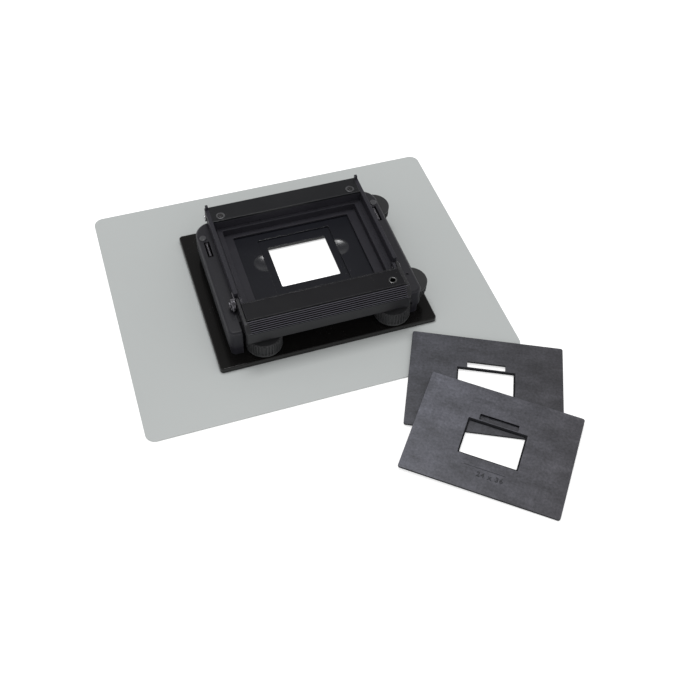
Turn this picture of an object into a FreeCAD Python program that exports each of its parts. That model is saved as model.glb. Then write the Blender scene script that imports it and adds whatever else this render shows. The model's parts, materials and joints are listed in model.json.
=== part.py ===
"""Slide duplicator: a copying holder with four masking blades on a light-mask sheet.

The origin is the optical axis of the film gate on the surface that the sheet lies on.
X runs along the sheet's long side, Y to the rear, Z up. All sizes are in millimetres.
"""
import FreeCAD
import Part
import math
import os

V = FreeCAD.Vector
OUT = "parts"

# Film plane: the outline that the slide insert and the spare inserts share
FILM_LENGTH = 100.0
FILM_WIDTH = 74.0
FILM_CORNER = 1.5
SLIDE_THICK = 2.2
SLIDE_WINDOW_LENGTH = 41.0
SLIDE_WINDOW_WIDTH = 37.0
SLIDE_RECESS = 51.5
SLIDE_RECESS_DEPTH = 1.2
RECESS_CORNER = 1.0
NOTCH_RADIUS = 8.0         # finger notches: shallow dishes beside the recess
NOTCH_Y = 4.5
POCKET_FIT = 0.3
TABLE_THICK = 1.0
POCKET_WALL = 1.4
GATE_MARGIN = 3.0          # the gate below the insert is this much wider than the window
GATE_REVEAL = 2.0
GATE_CORNER = 1.5

# Moulded housing: tray below, cover above
SIDE_MARGIN = 16.0         # from the film's edges to the housing's outside
FRONT_MARGIN = 17.0
REAR_MARGIN = 12.0
HOUSING_HEIGHT = 22.2
REAR_CORNER = 12.0
FRONT_CORNER = 4.5
HOUSING_EDGE = 2.2         # rounding of the cover's upper edge
WALL = 2.2
FLOOR = 1.4
TRAY_INSET = 1.2
TRAY_HEIGHT = 8.2
BAY_MARGIN = 7.0           # the open front bay is this much longer than the film on each side
BAY_DEPTH = 10.0
BAY_WALL = 1.6
LOBE_RADIUS = 9.0          # tray floor under each front wheel
TROUGH_WIDTH = 2.6         # troughs beside the grip's arms
TROUGH_DEPTH = 1.4
TROUGH_LENGTH = 19.0
DIMPLE_RADIUS = 0.9
DIMPLE_DEPTH = 0.8
DIMPLE_INSET = 5.3
DIMPLE_SETBACK = 16.1

# Base plate of the holder
PLATE_MARGIN = 9.0         # beside the housing
PLATE_FRONT = 8.5
PLATE_REAR = 13.5
PLATE_THICK = 3.8
PLATE_CORNER = 2.5
PLATE_BEVEL = 0.6

# Light-mask sheet under the holder
SHEET_LENGTH = 253.0
SHEET_WIDTH = 200.0
SHEET_THICK = 1.0
SHEET_CORNER = 6.5
SHEET_SHIFT = 4.0          # sheet centre lies this far left of the gate axis

# Light shaft from the sheet up to the film gate
SHAFT_LENGTH = 66.0
SHAFT_WIDTH = 68.0
SHAFT_CORNER = 2.0
SHAFT_STEP = 2.0           # each side, the sheet's opening is this much larger

# Rack-and-ribs drive of the masking blades
MODULE = 0.65
ADDENDUM = 0.35
DEDENDUM = 0.50
FLANK_ANGLE = 20.0
BACKLASH = 0.14
FRONT_RIBS = 36
SIDE_RIBS = 34
WHEEL_LIP = 0.17           # the smooth lip stands this far outside the ribs
WHEEL_LIP_HEIGHT = 1.5
WHEEL_SKIN = 1.8
WHEEL_RIM = 2.4
HUB_RADIUS = 4.0
FRONT_WHEEL_HEIGHT = 10.2
SIDE_WHEEL_HEIGHT = 7.0
LEFT_WHEEL_INSET = 23.5    # front wheels, from the housing's ends
RIGHT_WHEEL_INSET = 19.5
FRONT_WHEEL_SETBACK = 3.8
SIDE_WHEEL_SETBACK = 4.1   # side wheels, from the housing's right side
NEAR_WHEEL_INSET = 13.0    # side wheels, from the housing's front and rear
FAR_WHEEL_INSET = 15.5
SPINDLE_RADIUS = 1.5
SPINDLE_HEAD = 2.4
SPINDLE_HEAD_HEIGHT = 0.8
SPINDLE_HEAD_ROUND = 0.5
RUNNING = 0.05             # radial running fit on spindles and pins
GAP = 0.3                  # general clearance between moving pieces

# Masking blades
BLADE_THICK = 0.7
SIDE_BLADE_OPEN = 22.2     # inner edge of the left and right blades, fully open
SIDE_BLADE_TRAVEL = 14.0
END_BLADE_OPEN = 21.0      # inner edge of the front and rear blades, fully open
END_BLADE_TRAVEL = 8.0
BLADE_OVERLAP = 7.0        # each blade reaches this far past the window's ends
SIDE_BLADE_DEPTH = 16.0
END_BLADE_DEPTH = 14.0
ARM_WIDTH = 5.0
RACK_WIDTH = 3.3
RACK_MARGIN = 1.5
GUIDE_THICK = 1.2
GUIDE_MARGIN = 1.0         # the guide's opening beyond the gate
GUIDE_REVEAL = 5.7
GUIDE_FRONT = 6.0
GUIDE_POST = 2.5
POST_INSET = 7.0

# Lid
LID_MARGIN = 5.5           # the lid's sides stand this far outside the film pocket
LID_WALL = 2.6
LID_HEIGHT = 9.2
LID_SHELF = 1.6
LID_OVERHANG = 3.6         # behind the housing
FRAME_SIDE = 8.5           # from the film's edges to the lid's aperture
FRAME_END = 5.4
FILM_GAP = 0.4
WEB_THICK = 1.6
SKIRT_WALL = 1.6
SKIRT_FIT = 0.7
SKIRT_SETBACK = 0.6        # more room in front, where the skirt swings
SHELF_SETBACK = 5.6        # from the hinge axis to the shelf's rear edge
SHELF_BEAD = 0.8           # long bead on each shelf
SHELF_BEAD_HEIGHT = 0.5
SHELF_BEAD_INSET = 1.8
PANEL_THICK = 1.2
PANEL_DEPTH = 15.4
PANEL_LIP = 0.8
PANEL_LIP_HEIGHT = 0.5
EAR_HEIGHT = 3.0
EAR_DEPTH = 2.6
EAR_THICK = 1.8
EAR_ROUND = 0.9
EAR_INSET = 0.5
HINGE_INSET = 3.4          # from the lid's rear face to the hinge axis
HINGE_RADIUS = 3.3
LUG_WIDTH = 3.2
LUG_FIT = 0.1
BEAM_WALL = 1.6
DROP_WALL = 2.0
BEAM_FACE = 2.2
RIB_RISE = 1.5
SCREW_POST = 5.0
SCREW_POST_DEPTH = 9.0
PIN_HOLE_DEPTH = 4.0
HINGE_HEAD = 2.5
HEAD_THICK = 0.8
RIB_SPACING = 30.0
DROP_NOTCH = 1.4           # small notches at the foot of the drop wall
DROP_NOTCH_DEPTH = 0.6
DROP_NOTCH_HEIGHT = 1.2
DROP_NOTCH_NEAR = 20.5
DROP_NOTCH_FAR = 28.7

# Front bar and ribbed grip
PIVOT_SETBACK = 20.5       # from the housing's front to the grip's pivot
PIVOT_RISE = 4.1           # pivot axis above the lid's underside
BAR_SETBACK = 4.5          # from the pivot forward to the bar's rear edge
BAR_THICK = 1.4
BAR_DROP = 0.5             # the bar's face lies this far below the lid's top
BAR_BEAD = 0.7
BAR_BEAD_HEIGHT = 0.35
GRIP_REACH = 20.2          # from the pivot to the bar's rounded front face
GRIP_GAP = 0.4
GRIP_ARM = 2.0
GRIP_FIT = 0.1
GRIP_DROP = 6.4            # from the bar's top face down to the grip's lip
GRIP_LENGTH = 5.9          # the lip stands this far in front of the bar
GRIP_CORNER = 2.6
GRIP_GROOVES = 6
GROOVE_DEPTH = 0.55
SLOPE_START = 0.5          # from the grip's inner edge to the slope
NOSE_ROUND = 0.8
LIP_THICK = 1.9
LIP_UNDERCUT = 0.2
SKIRT_RAKE = 0.9
GROOVE_SHARE = 0.34        # of the distance from groove to groove
LEFT_PLAIN = 3.6           # plain ends beside the grooves
RIGHT_PLAIN = 3.0
GRIP_SKIN = 2.0
SKIRT_DROP = 8.1
KNUCKLE = 3.8
LUG_THICK = 2.0
LUG_LOW = 0.6
PIN_RADIUS = 1.2
PIN_HEAD = 2.2
SPRING_RADIUS = 3.9
SPRING_WIRE = 0.8
SPRING_TURNS = 4
SPRING_FACETS = 8
SPRING_LEG = 8.0
BUSH_INSET = 7.2           # from the bar's end
BUSH_SETBACK = 9.5         # from the bar's rear edge
BUSH_RADIUS = 2.7
BUSH_WALL = 0.9
BUSH_RIM = 0.35

# Fasteners
SCREW_RADIUS = 1.5
SCREW_HEAD = 2.9
SCREW_LENGTH = 19.0
SCREW_SLOT = 0.6
BOSS_RADIUS = 3.0
BOSS_SIDE = 5.5            # the front-left boss, from the housing's left side
BOSS_FRONT = 12.5          # front bosses, from the housing's front
BOSS_CENTRE = 2.0
REAR_BOSS_SIDE = 9.0
REAR_BOSS_SETBACK = 7.8
RIGHT_BOSS_SIDE = 25.0
RIGHT_BOSS_SETBACK = 5.8
PANEL_SCREW_INSET = 6.2
PANEL_SCREW_SETBACK = 5.0
PANEL_SCREW_RADIUS = 1.9
PANEL_SCREW_HEAD = 0.9
PANEL_SHANK = 1.1
PANEL_SHANK_LENGTH = 3.5
CROSS_ARM = 1.2
CROSS_SLOT = 0.44

# Tension springs beside the lid
SIDE_SPRING_INSET = 5.5
SIDE_SPRING_LENGTH = 13.0
SIDE_SPRING_RADIUS = 1.1
SIDE_SPRING_WIRE = 0.5
SIDE_SPRING_AHEAD = 10.8   # in front of the rear side wheel
SLOT_FIT = 0.7

# Spare film inserts lying beside the holder
SPARE_THICK = 1.5
SPARE_WINDOW_LENGTH = 36.0
SPARE_WINDOW_WIDTH = 24.4
SPARE_WINDOW_SHIFT = -1.1
SPARE_WINDOW_CORNER = 0.6
SPARE_BEVEL = 1.0
SPARE_SLOT_LENGTH = 25.0
SPARE_SLOT_WIDTH = 4.4
SPARE_SLOT_WEB = 1.6
REAR_SPARE_X = 84.9
REAR_SPARE_AHEAD = 22.1    # its centre lies this far in front of the sheet
REAR_SPARE_TURN = -25.7
FRONT_SPARE_SHIFT = 13.4   # from the rear spare's centre to the front spare's, leftwards
FRONT_SPARE_AHEAD = 41.5
FRONT_SPARE_TURN = -38.5
LAY_GAP = 0.1

# Levels worked out from the sizes above
Z_PLATE = SHEET_THICK + PLATE_THICK
Z_FLOOR = Z_PLATE + FLOOR
Z_TRAY = Z_PLATE + TRAY_HEIGHT
Z_COVER = Z_PLATE + HOUSING_HEIGHT
Z_CEILING = Z_COVER - WALL
Z_FRONT_WHEEL = Z_FLOOR + GAP
Z_WHEEL_TOP = Z_FRONT_WHEEL + FRONT_WHEEL_HEIGHT
Z_SIDE_BLADE = Z_WHEEL_TOP - BLADE_THICK - RUNNING * 2
Z_GUIDE = Z_SIDE_BLADE - GAP - GUIDE_THICK
Z_END_BLADE = Z_WHEEL_TOP + BLADE_THICK
Z_SIDE_WHEEL = Z_END_BLADE - RUNNING * 2
Z_SIDE_WHEEL_TOP = Z_SIDE_WHEEL + SIDE_WHEEL_HEIGHT
Z_TABLE = Z_END_BLADE + BLADE_THICK + GAP
Z_FILM = Z_TABLE + TABLE_THICK
Z_SLIDE = Z_FILM + SLIDE_THICK
Z_WEB = Z_SLIDE + FILM_GAP
Z_LID = Z_COVER + GAP
Z_LID_TOP = Z_LID + LID_HEIGHT
Z_PANEL = Z_LID_TOP - PANEL_THICK
Z_HINGE = Z_LID + HINGE_RADIUS
Z_PIVOT = Z_LID + PIVOT_RISE
Z_BAR = Z_LID_TOP - BAR_DROP
Z_SIDE_SPRING = Z_SIDE_WHEEL_TOP + SIDE_SPRING_RADIUS + GAP

# Places worked out from the sizes above
HOUSING_X = FILM_LENGTH / 2 + SIDE_MARGIN
HOUSING_FRONT = -FILM_WIDTH / 2 - FRONT_MARGIN
HOUSING_REAR = FILM_WIDTH / 2 + REAR_MARGIN
BAY_X = FILM_LENGTH / 2 + BAY_MARGIN
BAY_Y = HOUSING_FRONT + BAY_DEPTH
POCKET_X = FILM_LENGTH / 2 + POCKET_FIT
POCKET_Y = FILM_WIDTH / 2 + POCKET_FIT
GATE_X = SLIDE_WINDOW_LENGTH / 2 + GATE_MARGIN
GATE_Y = SLIDE_WINDOW_WIDTH / 2 + GATE_REVEAL
FRONT_PITCH = MODULE * FRONT_RIBS / 2
SIDE_PITCH = MODULE * SIDE_RIBS / 2
TOOTH_PITCH = math.pi * MODULE
FRONT_WHEEL_X = (-HOUSING_X + LEFT_WHEEL_INSET, HOUSING_X - RIGHT_WHEEL_INSET)
FRONT_WHEEL_Y = HOUSING_FRONT + FRONT_WHEEL_SETBACK
SIDE_WHEEL_X = HOUSING_X - SIDE_WHEEL_SETBACK
SIDE_WHEEL_Y = (HOUSING_FRONT + NEAR_WHEEL_INSET, HOUSING_REAR - FAR_WHEEL_INSET)
SKIRT_X = POCKET_X - SKIRT_FIT
SKIRT_FRONT = -POCKET_Y + SKIRT_FIT + SKIRT_SETBACK
SKIRT_REAR = POCKET_Y - SKIRT_FIT
LID_HALF = POCKET_X + LID_MARGIN
LID_INNER = LID_HALF - LID_WALL
LID_REAR = HOUSING_REAR + LID_OVERHANG
APERTURE_X = FILM_LENGTH / 2 - FRAME_SIDE
APERTURE_Y = FILM_WIDTH / 2 - FRAME_END
HINGE_Y = LID_REAR - HINGE_INSET
PANEL_FRONT = LID_REAR - PANEL_DEPTH
PANEL_SCREW_X = LID_INNER - PANEL_SCREW_INSET
PANEL_SCREW_Y = PANEL_FRONT + PANEL_SCREW_SETBACK
PIVOT_Y = HOUSING_FRONT + PIVOT_SETBACK
BAR_REAR = PIVOT_Y - BAR_SETBACK
BAR_FRONT = PIVOT_Y - GRIP_REACH
ARM_OUTER = LID_HALF - GRIP_FIT
ARM_INNER = ARM_OUTER - GRIP_ARM
BAR_HALF = ARM_INNER - GAP
BUSH_X = BAR_HALF - BUSH_INSET
BUSH_Y = BAR_REAR - BUSH_SETBACK
BOSS_PLACES = ((-HOUSING_X + BOSS_SIDE, HOUSING_FRONT + BOSS_FRONT),
               (BOSS_CENTRE, HOUSING_FRONT + BOSS_FRONT),
               (-HOUSING_X + REAR_BOSS_SIDE, HOUSING_REAR - REAR_BOSS_SETBACK),
               (HOUSING_X - RIGHT_BOSS_SIDE, HOUSING_REAR - RIGHT_BOSS_SETBACK))
SIDE_SPRING_X = HOUSING_X - SIDE_SPRING_INSET
SIDE_SPRING_Y = SIDE_WHEEL_Y[1] - SIDE_SPRING_AHEAD
REAR_SPARE = (REAR_SPARE_X, -SHEET_WIDTH / 2 - REAR_SPARE_AHEAD, REAR_SPARE_TURN)
FRONT_SPARE = (REAR_SPARE_X - FRONT_SPARE_SHIFT, REAR_SPARE[1] - FRONT_SPARE_AHEAD, FRONT_SPARE_TURN)
CUT = 1.0                  # how far a cutting body passes through
LAP = 0.5                  # how far fused bodies run into each other


def box(x0, x1, y0, y1, z0, z1):
    """Box between two corners."""
    return Part.makeBox(x1 - x0, y1 - y0, z1 - z0, V(x0, y0, z0))


def pillar(x, y, z0, z1, radius):
    """Upright cylinder."""
    return Part.makeCylinder(radius, z1 - z0, V(x, y, z0))


def rod(x0, x1, y, z, radius):
    """Cylinder along X."""
    return Part.makeCylinder(radius, x1 - x0, V(x0, y, z), V(1, 0, 0))


def upright_edges(shape):
    """Edges of a shape that run along Z."""
    edges = []
    for edge in shape.Edges:
        start = edge.Vertexes[0].Point
        end = edge.Vertexes[-1].Point
        if abs(start.x - end.x) < 1e-6 and abs(start.y - end.y) < 1e-6:
            edges.append(edge)
    return edges


def slab(x0, x1, y0, y1, z0, z1, corner):
    """Plate with rounded upright corners."""
    plate = box(x0, x1, y0, y1, z0, z1)
    return plate.makeFillet(corner, upright_edges(plate))


def top_edges(shape, level):
    """Edges that lie wholly at one height."""
    return [e for e in shape.Edges if all(abs(v.Point.z - level) < 1e-6 for v in e.Vertexes)]


def extrude_yz(points, x0, x1):
    """Solid with the given outline in the YZ plane, from x0 to x1."""
    wire = Part.makePolygon([V(x0, y, z) for y, z in points + points[:1]])
    return Part.Face(wire).extrude(V(x1 - x0, 0, 0))


def fuse(first, *others):
    """One clean solid from several."""
    return first.fuse(list(others)).removeSplitter()


def both_sides(shape):
    """A shape and its mirror image across the YZ plane."""
    return [shape, shape.mirror(V(0, 0, 0), V(1, 0, 0))]


def save(name, *solids):
    """Write one node."""
    shape = solids[0] if len(solids) == 1 else Part.makeCompound(list(solids))
    shape.exportStep(os.path.join(OUT, name + ".step"))


# ---------------------------------------------------------------- sheet and base plate

def light_shaft(z0, z1, extra=0.0):
    """Opening that lets the light up to the film."""
    half_x = SHAFT_LENGTH / 2 + extra
    half_y = SHAFT_WIDTH / 2 + extra
    return slab(-half_x, half_x, -half_y, half_y, z0 - CUT, z1 + CUT, SHAFT_CORNER)


def make_sheet():
    """Thin sheet that keeps stray light from the copy stand's lamp table."""
    half_x = SHEET_LENGTH / 2
    half_y = SHEET_WIDTH / 2
    sheet = slab(-half_x - SHEET_SHIFT, half_x - SHEET_SHIFT, -half_y, half_y,
                 0, SHEET_THICK, SHEET_CORNER)
    return sheet.cut(light_shaft(0, SHEET_THICK, SHAFT_STEP))


def make_base_plate():
    """Glossy plate with a bevelled upper edge and countersunk screw holes."""
    x = HOUSING_X + PLATE_MARGIN
    plate = slab(-x, x, HOUSING_FRONT - PLATE_FRONT, HOUSING_REAR + PLATE_REAR,
                 SHEET_THICK, Z_PLATE, PLATE_CORNER)
    plate = plate.makeChamfer(PLATE_BEVEL, top_edges(plate, Z_PLATE))
    plate = plate.cut(light_shaft(SHEET_THICK, Z_PLATE))
    return plate.cut([screw_hole(x, y) for x, y in BOSS_PLACES])


# ---------------------------------------------------------------- housing screws

def screw_hole(x, y):
    """Clearance hole with a countersink in the plate's underside."""
    hole = pillar(x, y, SHEET_THICK - CUT, Z_CEILING, SCREW_RADIUS)
    sink = Part.makeCone(SCREW_HEAD, SCREW_RADIUS, SCREW_HEAD - SCREW_RADIUS,
                         V(x, y, SHEET_THICK))
    return hole.fuse(sink)


def make_housing_screws():
    """Four long countersunk screws from the plate into the cover."""
    screws = []
    for x, y in BOSS_PLACES:
        head = Part.makeCone(SCREW_HEAD, SCREW_RADIUS, SCREW_HEAD - SCREW_RADIUS,
                             V(x, y, SHEET_THICK))
        shank = pillar(x, y, SHEET_THICK, SHEET_THICK + SCREW_LENGTH, SCREW_RADIUS)
        slot = box(x - SCREW_HEAD, x + SCREW_HEAD, y - SCREW_SLOT / 2, y + SCREW_SLOT / 2,
                   SHEET_THICK - CUT, SHEET_THICK + SCREW_SLOT)
        screws.append(fuse(head, shank).cut(slot))
    return screws


# ---------------------------------------------------------------- housing

def wheel_well(x, y, z0, z1, radius):
    """Room for a thumbwheel in a housing wall."""
    return pillar(x, y, z0, z1, radius + 2 * GAP)


def front_wells(z0, z1):
    """Rooms for the two front wheels."""
    return [wheel_well(x, FRONT_WHEEL_Y, z0, z1, front_lip()) for x in FRONT_WHEEL_X]


def side_wells():
    """Rooms for the two side wheels."""
    z0 = Z_SIDE_WHEEL - GAP
    return [wheel_well(SIDE_WHEEL_X, y, z0, Z_CEILING, side_lip()) for y in SIDE_WHEEL_Y]


def outline(inset, z0, z1):
    """Housing outline in plan, small corners in front and large ones behind, moved inwards."""
    x = HOUSING_X - inset
    y0 = HOUSING_FRONT + inset
    y1 = HOUSING_REAR - inset
    block = box(-x, x, y0, y1, z0, z1)
    edges = upright_edges(block)
    block = block.makeFillet(REAR_CORNER - inset, [e for e in edges if e.Vertexes[0].Y > 0])
    edges = upright_edges(block)
    near = [e for e in edges if abs(e.Vertexes[0].Y - y0) < FRONT_CORNER]
    return block.makeFillet(FRONT_CORNER - inset, near)


def front_bay(extra, z0, z1):
    """Open bay in which the fingers reach the front wheels; extra makes room for its walls."""
    return box(-BAY_X - extra, BAY_X + extra, HOUSING_FRONT - CUT, BAY_Y + extra, z0, z1)


def make_tray():
    """Lower shell: floor, low wall, screw bosses, blade-guide posts and wheel lobes."""
    tray = outline(TRAY_INSET, Z_PLATE, Z_TRAY)
    room = outline(TRAY_INSET + WALL, Z_FLOOR, Z_TRAY + CUT)
    tray = tray.cut(room.cut(front_bay(BAY_WALL, Z_PLATE, Z_TRAY + CUT)))
    lobes = [pillar(px, FRONT_WHEEL_Y, Z_PLATE - CUT, Z_FLOOR, LOBE_RADIUS) for px in FRONT_WHEEL_X]
    tray = tray.cut(front_bay(0, Z_PLATE - CUT, Z_TRAY + CUT).cut(lobes))
    posts = [pillar(px, py, Z_FLOOR - GAP, Z_GUIDE, GUIDE_POST) for px, py in guide_posts()]
    bosses = [pillar(bx, by, Z_FLOOR - GAP, Z_TRAY, BOSS_RADIUS) for bx, by in BOSS_PLACES]
    tray = fuse(tray, *posts, *bosses)
    tray = tray.cut(front_wells(Z_FLOOR, Z_TRAY + CUT))
    tray = tray.cut([screw_hole(bx, by) for bx, by in BOSS_PLACES])
    pins = [pillar(px, FRONT_WHEEL_Y, Z_PLATE - CUT, Z_TRAY, SPINDLE_RADIUS) for px in FRONT_WHEEL_X]
    return tray.cut(pins + [light_shaft(Z_PLATE, Z_FLOOR)])


def guide_ends():
    """Front and rear edge of the blade guide."""
    return -FILM_WIDTH / 2 + GUIDE_FRONT, FILM_WIDTH / 2


def guide_posts():
    """Places of the posts under the blade guide."""
    x = HOUSING_X - WALL - GAP - POST_INSET
    front, rear = guide_ends()
    return [(side * x, y) for side in (-1, 1) for y in (front + POST_INSET, rear - POST_INSET)]


def cover_shell():
    """Outer shell of the cover with its rounded upper edge, cut away at the front bay."""
    shell = outline(0, Z_TRAY, Z_COVER)
    shell = shell.makeFillet(HOUSING_EDGE, top_edges(shell, Z_COVER))
    room = outline(WALL, Z_TRAY - CUT, Z_CEILING)
    shell = shell.cut(room.cut(front_bay(BAY_WALL, Z_TRAY - CUT, Z_CEILING)))
    return shell.cut(front_bay(0, Z_TRAY - CUT, Z_COVER + CUT))


def pocket_solid():
    """Walls and table of the pocket that holds the film insert."""
    x = POCKET_X + POCKET_WALL
    y = POCKET_Y + POCKET_WALL
    return box(-x, x, -y, y, Z_TABLE, Z_COVER)


def pocket_room():
    """Space of the pocket and of the gate below it."""
    room = slab(-POCKET_X, POCKET_X, -POCKET_Y, POCKET_Y, Z_FILM, Z_COVER + CUT, FILM_CORNER)
    gate = slab(-GATE_X, GATE_X, -GATE_Y, GATE_Y, Z_TABLE - CUT, Z_FILM + CUT, GATE_CORNER)
    return [room, gate]


def hinge_lug():
    """Lug that carries the lid's hinge pin, right-hand side."""
    x1 = LID_INNER - GAP
    x0 = x1 - LUG_WIDTH
    radius = HINGE_RADIUS - LUG_FIT
    rear = HOUSING_REAR - HOUSING_EDGE
    foot = box(x0, x1, rear - radius, rear, Z_CEILING + GAP, Z_COVER)
    front = HINGE_Y - radius
    cheek = extrude_yz([(rear - radius, Z_COVER - GAP), (rear, Z_COVER - GAP),
                        (HOUSING_REAR - GAP, Z_HINGE), (front, Z_HINGE)], x0, x1)
    return fuse(foot, cheek, rod(x0, x1, HINGE_Y, Z_HINGE, radius))


def spring_slot(x):
    """Slot through the cover for a side spring."""
    half_x = SIDE_SPRING_RADIUS + SLOT_FIT
    half_y = SIDE_SPRING_LENGTH / 2 + SLOT_FIT
    return box(x - half_x, x + half_x, SIDE_SPRING_Y - half_y, SIDE_SPRING_Y + half_y,
               Z_CEILING - CUT, Z_COVER + CUT)


def arm_trough(side):
    """Trough in the cover beside one arm of the grip, open to the front bay."""
    x0, x1 = sorted((side * (BAY_X - TROUGH_WIDTH), side * BAY_X))
    return box(x0, x1, BAY_Y - CUT, BAY_Y + TROUGH_LENGTH - CUT, Z_COVER - TROUGH_DEPTH, Z_COVER + CUT)


def rack_slot():
    """Slot in the bay's rear wall for the rack of the front blade."""
    line = SIDE_WHEEL_X - SIDE_PITCH
    return box(line - RACK_WIDTH - GAP, line + ADDENDUM + GAP, BAY_Y - CUT, BAY_Y + BAY_WALL + CUT,
               Z_WHEEL_TOP, Z_TABLE)


def bay_corner():
    """Room where the wells of the two right-hand front wheels run into each other."""
    return box(BAY_X - CUT, BAY_X + BAY_WALL + GAP, BAY_Y - 2 * CUT, BAY_Y + BAY_WALL + GAP,
               Z_TRAY - CUT, Z_SIDE_WHEEL)


def make_cover():
    """Upper shell: film pocket, hinge lugs, screw bosses, wheel wells and slots."""
    cover = cover_shell()
    bosses = [pillar(x, y, Z_TRAY, Z_CEILING + GAP, BOSS_RADIUS) for x, y in BOSS_PLACES]
    cover = fuse(cover, pocket_solid(), *bosses, *both_sides(hinge_lug()))
    cover = cover.cut(pocket_room() + side_wells() + front_wells(Z_TRAY - CUT, Z_WHEEL_TOP + GAP))
    cover = cover.cut([spring_slot(SIDE_SPRING_X), spring_slot(-SIDE_SPRING_X), rack_slot()])
    cover = cover.cut([arm_trough(-1), arm_trough(1), bay_corner()])
    holes = [screw_hole(x, y) for x, y in BOSS_PLACES]
    holes += [pillar(x, SIDE_WHEEL_Y[1], Z_CEILING - CUT, Z_COVER + CUT, SPINDLE_RADIUS)
              for x in (-SIDE_WHEEL_X, SIDE_WHEEL_X)]
    blind = Z_CEILING + WALL / 2
    holes.append(pillar(SIDE_WHEEL_X, SIDE_WHEEL_Y[0], Z_CEILING - CUT, blind, SPINDLE_RADIUS))
    dimple_x = HOUSING_X - DIMPLE_INSET
    holes.append(pillar(dimple_x, HOUSING_FRONT + DIMPLE_SETBACK, Z_COVER - DIMPLE_DEPTH, Z_COVER + CUT,
                        DIMPLE_RADIUS))
    holes.append(rod(-LID_HALF, LID_HALF, HINGE_Y, Z_HINGE, SPINDLE_RADIUS))
    return cover.cut(holes)


# ---------------------------------------------------------------- thumbwheels

def front_lip():
    """Radius of the front wheels' lip."""
    return FRONT_PITCH + ADDENDUM + WHEEL_LIP


def side_lip():
    """Radius of the side wheels' lip."""
    return SIDE_PITCH + ADDENDUM + WHEEL_LIP


def rib_outline(count, turn):
    """Outline of a ribbed rim; turn is the angle of one gap between ribs."""
    pitch_radius = MODULE * count / 2
    half = (TOOTH_PITCH / 2 - BACKLASH) / 2
    slope = math.tan(math.radians(FLANK_ANGLE))
    foot = half + DEDENDUM * slope
    tip = half - ADDENDUM * slope
    points = []
    for i in range(count):
        middle = turn + 2 * math.pi * (i + 0.5) / count
        for width, height in ((-foot, -DEDENDUM), (-tip, ADDENDUM), (tip, ADDENDUM), (foot, -DEDENDUM)):
            radius = pitch_radius + height
            angle = middle + width / pitch_radius
            points.append(V(radius * math.cos(angle), radius * math.sin(angle), 0))
    return points


def wheel(count, height, turn, lip_low, sink_low):
    """Moulded thumbwheel on the origin: ribbed rim, smooth lip, skin and hub."""
    points = rib_outline(count, turn)
    ribs = Part.Face(Part.makePolygon(points + points[:1])).extrude(V(0, 0, height))
    lip_radius = MODULE * count / 2 + ADDENDUM + WHEEL_LIP
    lip_z = 0 if lip_low else height - WHEEL_LIP_HEIGHT
    lip = Part.makeCylinder(lip_radius, WHEEL_LIP_HEIGHT, V(0, 0, lip_z))
    body = ribs.fuse(lip)
    inner = MODULE * count / 2 - DEDENDUM - WHEEL_RIM
    hollow = Part.makeCylinder(inner, height - WHEEL_SKIN, V(0, 0, 0))
    hollow = hollow.cut(Part.makeCylinder(HUB_RADIUS, height))
    body = body.cut(hollow)
    bore = Part.makeCylinder(SPINDLE_RADIUS + RUNNING, height)
    sink_depth = SPINDLE_HEAD_HEIGHT + 2 * GAP
    sink_z = 0 if sink_low else height - sink_depth
    sink = Part.makeCylinder(SPINDLE_HEAD + GAP, sink_depth, V(0, 0, sink_z))
    return body.cut([bore, sink])


def make_front_wheel(x):
    """Front wheel; a gap between its ribs faces the rack behind it."""
    shape = wheel(FRONT_RIBS, FRONT_WHEEL_HEIGHT, math.pi / 2, True, False)
    shape.translate(V(x, FRONT_WHEEL_Y, Z_FRONT_WHEEL))
    return shape


def make_side_wheel(y):
    """Side wheel; a gap between its ribs faces the rack on its left."""
    shape = wheel(SIDE_RIBS, SIDE_WHEEL_HEIGHT, math.pi, False, True)
    shape.translate(V(SIDE_WHEEL_X, y, Z_SIDE_WHEEL))
    return shape


def make_front_pins():
    """Headed pins from the tray floor through the front wheels."""
    pins = []
    for x in FRONT_WHEEL_X:
        shank = pillar(x, FRONT_WHEEL_Y, Z_PLATE, Z_WHEEL_TOP - GAP, SPINDLE_RADIUS)
        head = pillar(x, FRONT_WHEEL_Y, Z_WHEEL_TOP - GAP - SPINDLE_HEAD_HEIGHT,
                      Z_WHEEL_TOP - GAP, SPINDLE_HEAD)
        pins.append(fuse(shank, head))
    return pins


def dome_head(x, y):
    """Low domed head on the cover."""
    head = pillar(x, y, Z_COVER, Z_COVER + SPINDLE_HEAD_HEIGHT, SPINDLE_HEAD)
    return head.makeFillet(SPINDLE_HEAD_ROUND, top_edges(head, Z_COVER + SPINDLE_HEAD_HEIGHT))


def spindle(y, top):
    """Spindle that hangs from the cover and carries a side wheel on its collar."""
    shank = pillar(SIDE_WHEEL_X, y, Z_SIDE_WHEEL, top, SPINDLE_RADIUS)
    collar = pillar(SIDE_WHEEL_X, y, Z_SIDE_WHEEL, Z_SIDE_WHEEL + SPINDLE_HEAD_HEIGHT, SPINDLE_HEAD)
    return fuse(shank, collar)


def make_spindles():
    """Blind spindle in front; the rear one goes through the cover and has a head."""
    near = spindle(SIDE_WHEEL_Y[0], Z_CEILING + WALL / 2)
    far = fuse(spindle(SIDE_WHEEL_Y[1], Z_COVER), dome_head(SIDE_WHEEL_X, SIDE_WHEEL_Y[1]))
    return [near, far]


def make_stud():
    """Blank stud that closes the matching hole on the left."""
    shank = pillar(-SIDE_WHEEL_X, SIDE_WHEEL_Y[1], Z_CEILING, Z_COVER, SPINDLE_RADIUS)
    return fuse(shank, dome_head(-SIDE_WHEEL_X, SIDE_WHEEL_Y[1]))


# ---------------------------------------------------------------- masking blades

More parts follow.
